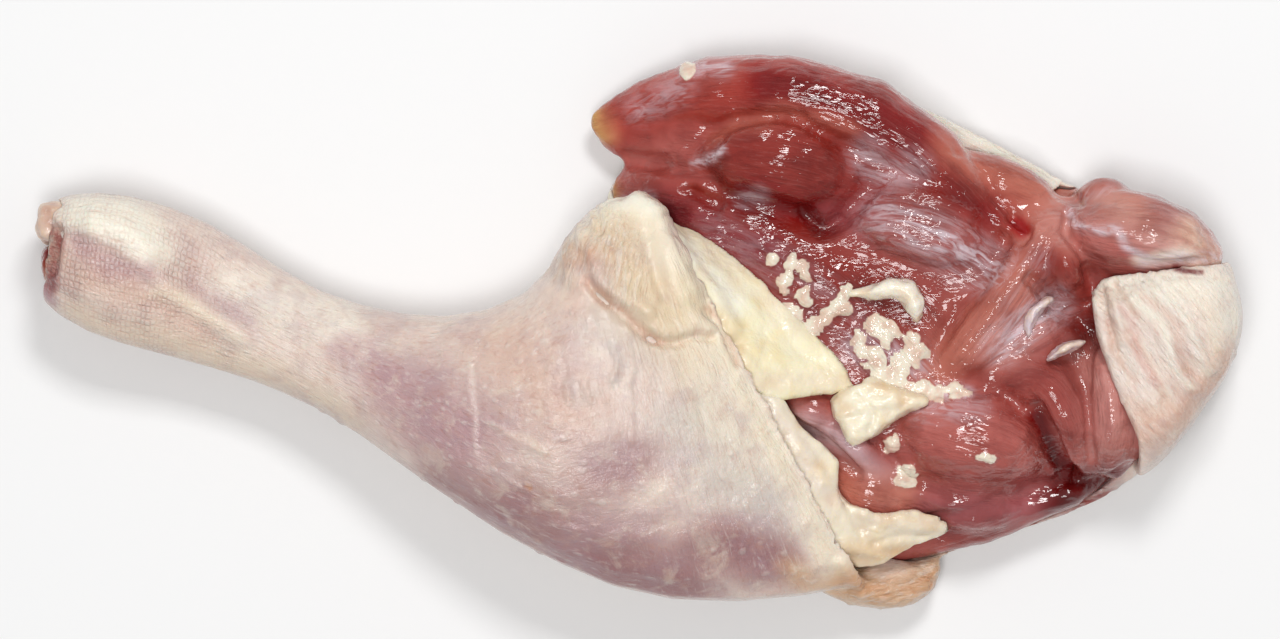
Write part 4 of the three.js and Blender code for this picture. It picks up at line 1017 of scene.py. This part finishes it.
def raw_skin(colours):
    """Plucked raw poultry skin: damp and thin, so the red and lilac of the meat under it show in soft mottles, with
    fine creases that turn from along the neck to round the calf, with painted highlight on their crests and painted
    shade in their furrows, pale follicles, and the small square scales of the shank, where the bare leg begins."""
    material, tree = fresh_material("raw duck skin, plucked")
    tint = added(tree, KEPT, {"attribute_name": "tint"}, output="Color")
    drawn = added(tree, KEPT, {"attribute_name": "drawn"}, output="Vector")
    calf = added(tree, KEPT, {"attribute_name": "calf"}, output="Fac")
    rough = added(tree, KEPT, {"attribute_name": "rough"}, output="Fac")
    thick = added(tree, KEPT, {"attribute_name": "thick"}, output="Fac")
    scales = added(tree, KEPT, {"attribute_name": "scales"}, output="Fac")
    clear = added(tree, KEPT, {"attribute_name": "clear"}, output="Fac")
    place = added(tree, PLACE, output="Object")
    # soft patches about 10 mm and 4 mm across, and pale ones 7 mm across
    mottle = added(tree, NOISE, {"Scale": 100.0, "Detail": 5.0, "Roughness": 0.62}, {"Vector": place})
    pale = added(tree, NOISE, {"Scale": 150.0, "Detail": 5.0, "Roughness": 0.68, "Distortion": 0.5}, {"Vector": place})
    blotch = added(tree, NOISE, {"Scale": 260.0, "Detail": 5.0, "Roughness": 0.65}, {"Vector": place})
    # creases about 0.7 mm apart: along the leg at the neck, round it on the calf
    spread = added(tree, SPREAD, {"Scale": (0.3, 1.5, 0.9)}, {"Vector": drawn})
    settings = {"Scale": 1.0, "Detail": 4.0, "Roughness": 0.6, "Distortion": 0.6}
    lengthwise = added(tree, NOISE, settings, {"Vector": spread})
    spread = added(tree, SPREAD, {"Scale": (1.2, 0.42, 0.4)}, {"Vector": drawn})
    settings = {"Scale": 1.0, "Detail": 4.0, "Roughness": 0.62, "Distortion": 0.9}
    roundwise = added(tree, NOISE, settings, {"Vector": spread})
    # broader streaks, 1.4 mm by 9 mm, where the skin is stretched rough; on the fold over the hip they are partly
    # painted highlight
    spread = added(tree, SPREAD, {"Scale": (0.11, 0.7, 0.4)}, {"Vector": drawn})
    settings = {"Scale": 1.0, "Detail": 3.0, "Distortion": 0.6}
    drawn_streaks = added(tree, NOISE, settings, {"Vector": spread})
    creases = added(tree, BLEND, None, {0: calf, 2: lengthwise, 3: roundwise})
    creases = added(tree, BLEND, {2: 0.5}, {0: clear, 3: creases})
    # follicles: pale dashes 1.5 mm long, about 4 mm apart
    spread = added(tree, SPREAD, {"Scale": (0.26, 0.62, 0.5)}, {"Vector": drawn})
    dash = added(tree, CELLS, {"Scale": 1.0}, {"Vector": spread}, "Distance")
    dash = added(tree, SUM, {"operation": "MULTIPLY_ADD", 1: 0.4}, {0: blotch, 2: dash})
    dashes = added(tree, RANGE, {"interpolation_type": SMOOTH, 1: 0.28, 2: 0.46, 3: 1.0, 4: 0.0}, {0: dash})
    dashes = added(tree, SUM, {"operation": "MULTIPLY"}, {0: dashes, 1: clear})
    # scales about 1.1 mm across, in uneven rings that fade in and out
    spread = added(tree, SPREAD, {"Scale": (0.95, 0.72, 0.0)}, {"Vector": drawn})
    swayed = added(tree, "ShaderNodeVectorMath", {"operation": "MULTIPLY_ADD", 1: (2.2, 2.2, 0)}, {0: mottle, 2: spread})
    settings = {"feature": "DISTANCE_TO_EDGE", "voronoi_dimensions": "2D", "Scale": 1.0, "Randomness": 0.35}
    net = added(tree, CELLS, settings, {"Vector": swayed})
    gaps = added(tree, RANGE, {"interpolation_type": SMOOTH, 1: 0.0, 2: 0.3, 3: 1.0, 4: 0.0}, {0: net})
    shown = added(tree, RANGE, {"interpolation_type": SMOOTH, 1: 0.35, 2: 0.65, 3: 0.35, 4: 1.0}, {0: mottle})
    seams = added(tree, SUM, {"operation": "MULTIPLY"}, {0: gaps, 1: shown})
    seams = added(tree, SUM, {"operation": "MULTIPLY"}, {0: seams, 1: scales})
    smooth = added(tree, SUM, {"operation": "MULTIPLY_ADD", 1: -0.6, 2: 1.0}, {0: thick})
    seams = added(tree, SUM, {"operation": "MULTIPLY"}, {0: seams, 1: smooth})

    part = added(tree, RANGE, {"interpolation_type": SMOOTH, 1: 0.5, 2: 0.68, 4: 0.3}, {0: pale})
    colour = added(tree, BLEND, {"data_type": "RGBA", 7: (*colours["cream"], 1)}, {0: part, 6: tint}, 2)
    part = added(tree, RANGE, {"interpolation_type": SMOOTH, 1: 0.44, 2: 0.66, 4: 0.34}, {0: mottle})
    over_meat = added(tree, SUM, {"operation": "SUBTRACT", "use_clamp": True, 0: 1.0}, {1: thick})
    part = added(tree, SUM, {"operation": "MULTIPLY"}, {0: part, 1: over_meat})
    colour = added(tree, BLEND, {"data_type": "RGBA", 7: (*colours["bruise"], 1)}, {0: part, 6: colour}, 2)
    part = added(tree, RANGE, {"interpolation_type": SMOOTH, 1: 0.5, 2: 0.72, 4: 0.3}, {0: blotch})
    part = added(tree, SUM, {"operation": "MULTIPLY"}, {0: part, 1: over_meat})
    colour = added(tree, BLEND, {"data_type": "RGBA", 7: (*colours["flush"], 1)}, {0: part, 6: colour}, 2)
    # pale and darker streaks where the skin is rough; on the fold over the hip they are partly painted highlight and
    # shade
    part = added(tree, RANGE, {"interpolation_type": SMOOTH, 1: 0.52, 2: 0.36}, {0: drawn_streaks})
    part = added(tree, SUM, {"operation": "MULTIPLY"}, {0: part, 1: rough})
    settings = {"data_type": "RGBA", "blend_type": "MULTIPLY", 7: (0.95, 0.87, 0.83, 1)}
    colour = added(tree, BLEND, settings, {0: part, 6: colour}, 2)
    part = added(tree, RANGE, {"interpolation_type": SMOOTH, 1: 0.48, 2: 0.66, 4: 0.6}, {0: drawn_streaks})
    part = added(tree, SUM, {"operation": "MULTIPLY"}, {0: part, 1: rough})
    colour = added(tree, BLEND, {"data_type": "RGBA", 7: (*colours["skin_light"], 1)}, {0: part, 6: colour}, 2)
    # painted highlight on the crests of the creases, then painted shade in their furrows
    part = added(tree, RANGE, {"interpolation_type": SMOOTH, 1: 0.54, 2: 0.74, 4: 0.3}, {0: creases})
    colour = added(tree, BLEND, {"data_type": "RGBA", 7: (*colours["skin_light"], 1)}, {0: part, 6: colour}, 2)
    part = added(tree, RANGE, {"interpolation_type": SMOOTH, 1: 0.48, 2: 0.3, 4: 0.8}, {0: creases})
    settings = {"data_type": "RGBA", "blend_type": "MULTIPLY", 7: (0.9, 0.8, 0.77, 1)}
    colour = added(tree, BLEND, settings, {0: part, 6: colour}, 2)
    plain = added(tree, SUM, {"operation": "MULTIPLY_ADD", 1: -0.22, 2: 0.22}, {0: scales})
    part = added(tree, SUM, {"operation": "MULTIPLY"}, {0: dashes, 1: plain})
    colour = added(tree, BLEND, {"data_type": "RGBA", 7: (*colours["skin_light"], 1)}, {0: part, 6: colour}, 2)
    settings = {"data_type": "RGBA", "blend_type": "MULTIPLY", 7: (0.88, 0.75, 0.71, 1)}
    colour = added(tree, BLEND, settings, {0: seams, 6: colour}, 2)

    under = added(tree, BUMP, {"Distance": 0.5 * MM}, {"Height": blotch})
    deeper = added(tree, SUM, {"operation": "MULTIPLY_ADD", 1: 1.4, 2: 1.0}, {0: rough})
    deep = added(tree, SUM, {"operation": "MULTIPLY"}, {0: creases, 1: deeper})
    under = added(tree, BUMP, {"Distance": 0.3 * MM}, {"Height": deep, "Normal": under})
    under = added(tree, BUMP, {"Distance": 0.1 * MM}, {"Height": dashes, "Normal": under})
    raised = added(tree, SUM, {"operation": "SUBTRACT", 0: 1.0}, {1: seams})
    under = added(tree, BUMP, {"Distance": 0.16 * MM}, {"Height": raised, "Normal": under})
    settings = {
        "Roughness": 0.46,
        "IOR": 1.4,
        "Subsurface Weight": 0.2,
        "Subsurface Radius": (1.0, 0.45, 0.3),
        "Subsurface Scale": 0.0015,
        "Coat Weight": 0.8,
        "Coat Roughness": 0.15,
        "Coat IOR": 1.4,
    }
    surface = added(tree, SHADER, settings, {"Base Color": colour, "Normal": under, "Coat Normal": under})
    added(tree, OUTPUT, links={"Surface": surface})
    return material


def raw_fat(name, colours):
    """Soft cream duck fat: waxy and half clear, with small lobes, and a wet film that gives it small bright lights."""
    material, tree = fresh_material(name)
    tint = added(tree, KEPT, {"attribute_name": "tint"}, output="Color")
    place = added(tree, PLACE, output="Object")
    # lobes about 5 mm across, grain about 1.3 mm
    lobes = added(tree, NOISE, {"Scale": 190.0, "Detail": 4.0, "Distortion": 0.4}, {"Vector": place})
    grain = added(tree, NOISE, {"Scale": 750.0, "Detail": 3.0}, {"Vector": place})
    part = added(tree, RANGE, {"interpolation_type": SMOOTH, 1: 0.5, 2: 0.72}, {0: lobes})
    settings = {"data_type": "RGBA", "blend_type": "MULTIPLY", 7: (0.99, 0.94, 0.84, 1)}
    colour = added(tree, BLEND, settings, {0: part, 6: tint}, 2)
    part = added(tree, RANGE, {"interpolation_type": SMOOTH, 1: 0.55, 2: 0.75, 4: 0.35}, {0: grain})
    colour = added(tree, BLEND, {"data_type": "RGBA", 7: (*colours["scrap_fat"], 1)}, {0: part, 6: colour}, 2)
    under = added(tree, BUMP, {"Distance": 0.7 * MM}, {"Height": lobes})
    under = added(tree, BUMP, {"Distance": 0.14 * MM}, {"Height": grain, "Normal": under})
    settings = {
        "Roughness": 0.42,
        "IOR": 1.45,
        "Subsurface Weight": 0.3,
        "Subsurface Radius": (1.0, 0.75, 0.4),
        "Subsurface Scale": 0.0015,
        "Coat Weight": 0.5,
        "Coat Roughness": 0.14,
    }
    surface = added(tree, SHADER, settings, {"Base Color": colour, "Normal": under, "Coat Normal": under})
    added(tree, OUTPUT, links={"Surface": surface})
    return material


def plain_paper():
    """A matt white paper sweep, with no grain to see."""
    material, tree = fresh_material("white paper sweep")
    settings = {"Base Color": (*hex_linear("#EFEFEF"), 1), "Roughness": 0.9, "Specular IOR Level": 0.0}
    added(tree, OUTPUT, links={"Surface": added(tree, SHADER, settings)})
    return material


# Settings


class DuckLegSizes(bpy.types.PropertyGroup):
    """Sizes that a user would change"""

    meat_grain: FloatProperty(
        name="Meat grain", description="Mesh size of the meat", default=0.0007, min=0.0004, unit="LENGTH"
    )
    skin_grain: FloatProperty(
        name="Skin grain", description="Mesh size of the skin", default=0.0007, min=0.0004, unit="LENGTH"
    )
    fat_grain: FloatProperty(
        name="Fat grain", description="Mesh size of the fat", default=0.00045, min=0.0003, unit="LENGTH"
    )
    gristle_grain: FloatProperty(
        name="Gristle grain", description="Mesh size of gristle and tendon", default=0.00035, unit="LENGTH"
    )
    relief: FloatProperty(
        name="Relief", description="How strong the creases and crowns are", default=1.0, min=0, subtype="FACTOR"
    )
    scrap_rise: FloatProperty(
        name="Scrap rise", description="How far a scrap of fat stands up", default=0.0011, unit="LENGTH"
    )


def colour_property(name, description, code):
    return FloatVectorProperty(
        name=name, description=description, default=hex_linear(code), size=3, min=0, max=1, subtype="COLOR"
    )


class DuckLegColours(bpy.types.PropertyGroup):
    """Colours that a user would change"""

    muscle_thread: colour_property("Muscle thread", "The pale threads between the fibres", "#C98C84")
    # also the colour of the painted sheen on the wettest parts of the thigh
    membrane: colour_property("Membrane", "The film over the muscles where it shows white", "#DFCFD6")
    scrap_fat: colour_property("Scrap fat", "Scraps and grains of fat", "#F0E6D2")
    scrap_shade: colour_property("Scrap shade", "The duller parts of a scrap of fat", "#E2C6B2")
    bruise: colour_property("Bruise", "Lilac that shows through the skin", "#A98B93")
    flush: colour_property("Flush", "Tan and pink of the skin", "#C29A88")
    cream: colour_property("Cream", "Yellow fat that shows through the skin", "#EADFCB")
    # pale follicles and streaks, and the painted highlight on the crests of the creases
    skin_light: colour_property("Skin light", "Crests of the skin's creases", "#EDE3DA")
    gristle: colour_property("Gristle", "The joint end at the hock", "#E6CDB8")
    tendon: colour_property("Tendon", "Loose ends of tendon", "#E2CBBC")


def plain_colours(context):
    group = context.scene.duck_leg_colours
    return {name: tuple(getattr(group, name)) for name in DuckLegColours.__annotations__}


# Pieces


class LEG_OT_meat(bpy.types.Operator):
    """The meat, with its muscles, creases, membrane and beads of fat"""

    bl_idname = "leg.meat"
    bl_label = "Meat"

    def execute(self, context):
        sizes = context.scene.duck_leg_sizes
        piece = softened(node_copy("meat", "muscle"), sizes.meat_grain, 12)
        surface = Surface(piece)
        low = surface.at[:, 2] < MEAT_SIGHT_Z
        inside = (surface.at[:, 0] < MEAT_SIGHT_X) & (surface.at[:, 0] > STUMP_X)
        thinned(piece, (surface.facing[:, 2] < -0.3) | low | inside, MEAT_SHARE)
        surface = Surface(piece)
        wet = surface.masked(WET_AREAS)
        rolling = 0.4 * surface.rolling(8.0, 3.1) + 0.18 * surface.rolling(3.0, 8.2)
        surface.raised((surface.lines(MEAT_RELIEF) + rolling * (1 - 0.3 * wet)) * sizes.relief)
        surface.raised(surface.wrinkles(MEAT_WRINKLES) * (1 - 0.55 * wet) * sizes.relief)
        inside = surface.scraps(FAT_SCRAPS)
        surface.raised(np.sqrt(np.clip(1.5 * inside, 0, 1)) * sizes.scrap_rise / MM)
        surface.keep_colour("tint", surface.painted(MEAT_BASE, MEAT_TOUCHES, WET_VEIL))
        # white membrane, and in places a painted sheen
        surface.keep_number("film", surface.masked(MEMBRANE_AND_SHEEN))
        surface.keep_number("wet", wet)
        surface.keep_number("scrap", np.clip(5 * inside, 0, 1))
        fibre, clear = fibre_lines(surface)
        surface.keep_vector("fibre", fibre)
        surface.keep_number("clear", clear)
        finished(piece, "meat", raw_muscle(plain_colours(context)))
        return {"FINISHED"}


class LEG_OT_skin(bpy.types.Operator):
    """The skin: the drumstick's sleeve, the layer under the thigh and its fold over the hip"""

    bl_idname = "leg.skin"
    bl_label = "Skin"

    def execute(self, context):
        sizes = context.scene.duck_leg_sizes
        piece = node_copy("skin", "duck_skin")
        surface = Surface(piece)
        short = wall_shortfall(surface)
        surface.moved(np.stack([0 * short, 0 * short, short], axis=1))
        softened(piece, sizes.skin_grain, 10)
        surface = Surface(piece)
        thinned(piece, skin_out_of_sight(surface), SKIN_SHARE)
        surface = Surface(piece)
        back = HOLLOW_BACK * fade(measured(surface.at[:, :2], drawn_out(HOCK_HOLLOW))[0], HOLLOW_REACH)
        surface.moved(np.stack([back * surface.upward, 0 * back, 0 * back], axis=1))
        near, along, _ = measured(surface.at[:, :2], drawn_out(CUT_EDGE))
        wander = sum(far * noise_at(np.stack([along / step] * 3, axis=1)) for step, far in CUT_WANDER)
        surface.moved((wander * fade(near, CUT_REACH))[:, None] * np.array(CUT_WAY))
        place, drawn = rib_place(surface)
        drawn, rough, calf, clear = turned_grain(surface, place, drawn)
        height = surface.lines(SKIN_RELIEF) + surface.wrinkles(SKIN_WRINKLES)
        height += (0.28 * surface.rolling(9.0, 1.7) + 0.12 * surface.rolling(3.0, 5.5)) * surface.upward
        outer = surface.facing[:, 2] > -0.2
        dice = np.random.default_rng(3)
        for spot in dice.choice(np.nonzero(outer & (place > 5))[0], FOLLICLES, replace=False):
            gap = np.sqrt(((surface.at - surface.at[spot]) ** 2).sum(axis=1))
            height += 0.3 * fade(gap, 1.5) * outer
        surface.raised(height * sizes.relief)
        surface.keep_colour("tint", surface.painted(SKIN_BASE, SKIN_TOUCHES))
        surface.keep_vector("drawn", drawn)
        shown = np.clip(2 * surface.facing[:, 2] + 1.6, 0, 1)
        scales = np.clip((SCALES_END[0] - surface.at[:, 0]) / SCALES_END[1], 0, 1)
        surface.keep_number("scales", scales * shown)
        surface.keep_number("calf", calf)
        surface.keep_number("rough", rough)
        surface.keep_number("thick", surface.masked(THICK_FAT))
        surface.keep_number("clear", clear * shown)
        finished(piece, "skin", raw_skin(plain_colours(context)))
        return {"FINISHED"}


class LEG_OT_fat(bpy.types.Operator):
    """The fat beside the cut edge and the loose curl of fat"""

    bl_idname = "leg.fat"
    bl_label = "Fat"

    def execute(self, context):
        sizes = context.scene.duck_leg_sizes
        material = raw_fat("raw duck fat", plain_colours(context))
        for node, base in FAT_BASE.items():
            piece = softened(node_copy(node, f"{node}_soft"), sizes.fat_grain, 8)
            surface = Surface(piece)
            height = surface.lines(FAT_RELIEF.get(node, [])) * sizes.relief
            swell, broad, small = FAT_LUMPS[node]
            lumps = broad * surface.rolling(4.5, 2.2) + small * surface.rolling(1.8, 6.1)
            surface.raised(height + swell + lumps)
            # painted shade, with a tinge of blood, where the lumps dip low
            crevice_shade_and_blood = np.clip(-1.6 * lumps, 0, 1)[:, None] * (1 - np.array(hex_linear(CREVICE_SHADE_AND_BLOOD)))
            surface.keep_colour("tint", surface.painted(base, FAT_TOUCHES[node]) * (1 - crevice_shade_and_blood))
            finished(piece, node, material)
        return {"FINISHED"}


class LEG_OT_gristle(bpy.types.Operator):
    """The joint end at the hock and the ends of tendon on the thigh"""

    bl_idname = "leg.gristle"
    bl_label = "Gristle and tendon"

    def execute(self, context):
        colours = plain_colours(context)
        material = raw_fat("gristle and tendon, wet", colours)
        for node, slot in (("hock_knuckle", "gristle"), ("tendon_upper", "tendon"), ("tendon_lower", "tendon")):
            grain = context.scene.duck_leg_sizes.gristle_grain
            piece = softened(node_copy(node, f"{node}_soft"), grain, SOFT_ROUNDS[slot])
            surface = Surface(piece)
            uneven = surface.rolling(2.6, 4.4)
            surface.raised(0.42 * uneven + 0.2 * surface.rolling(1.1, 8.8) + THINNER[slot])
            flush = np.clip(0.5 - uneven, 0, 1)[:, None]
            tint = np.array(colours[slot]) * (1 - flush) + np.array(colours[FLUSHED[slot]]) * flush
            surface.keep_colour("tint", tint)
            finished(piece, node, material)
        return {"FINISHED"}


class LEG_OT_stage(bpy.types.Operator):
    """The pale floor, the soft light and the camera straight above"""

    bl_idname = "leg.stage"
    bl_label = "Stage"

    def execute(self, context):
        scene = context.scene
        shape = bmesh.new()
        bmesh.ops.create_grid(shape, x_segments=1, y_segments=1, size=1.5)
        mesh = bpy.data.meshes.new("floor")
        shape.to_mesh(mesh)
        shape.free()
        floor = bpy.data.objects.new("floor", mesh)
        mesh.materials.append(plain_paper())
        scene.collection.objects.link(floor)
        world = bpy.data.worlds.new("soft room")
        world.use_nodes = True
        room = world.node_tree.nodes["Background"]
        room.inputs["Color"].default_value = (1, 1, 1, 1)
        room.inputs["Strength"].default_value = ROOM_LIGHT
        scene.world = world
        for name, spot, size, power in LAMPS:
            lamp = bpy.data.lights.new(name, "AREA")
            lamp.shape = "RECTANGLE"
            lamp.size, lamp.size_y = size
            lamp.energy = power
            light = bpy.data.objects.new(name, lamp)
            light.location = spot
            light.rotation_euler = (Vector((0, 0, 0.02)) - Vector(spot)).to_track_quat("-Z", "Y").to_euler()
            scene.collection.objects.link(light)
        eye = bpy.data.cameras.new("camera")
        eye.lens = LENS
        eye.sensor_width = SENSOR
        eye.clip_end = 20
        camera = bpy.data.objects.new("camera", eye)
        away = LENS / SENSOR * PHOTO_WIDE
        camera.location = (PHOTO_MIDDLE[0] * MM, PHOTO_MIDDLE[1] * MM, (PHOTO_HEIGHT + away) * MM)
        scene.collection.objects.link(camera)
        scene.camera = camera
        scene.view_settings.view_transform = "Standard"
        return {"FINISHED"}


class LEG_PT_panel(bpy.types.Panel):
    """Lists the leg's pieces"""

    bl_label = "Duck leg"
    bl_idname = "LEG_PT_panel"
    bl_space_type = "VIEW_3D"
    bl_region_type = "UI"
    bl_category = "Duck leg"

    def draw(self, context):
        for group in (context.scene.duck_leg_sizes, context.scene.duck_leg_colours):
            for name in type(group).__annotations__:
                self.layout.prop(group, name)
        for name in ORDER:
            self.layout.operator(f"leg.{name}")


ORDER = ("stage", "meat", "skin", "fat", "gristle")
CLASSES = (
    DuckLegSizes,
    DuckLegColours,
    LEG_OT_meat,
    LEG_OT_skin,
    LEG_OT_fat,
    LEG_OT_gristle,
    LEG_OT_stage,
    LEG_PT_panel,
)


def register():
    for made in CLASSES:
        bpy.utils.register_class(made)
    bpy.types.Scene.duck_leg_sizes = PointerProperty(type=DuckLegSizes)
    bpy.types.Scene.duck_leg_colours = PointerProperty(type=DuckLegColours)


def unregister():
    del bpy.types.Scene.duck_leg_colours
    del bpy.types.Scene.duck_leg_sizes
    for made in reversed(CLASSES):
        bpy.utils.unregister_class(made)


def main():
    register()
    for name in ORDER:
        getattr(bpy.ops.leg, name)()


if __name__ == "__main__":
    main()
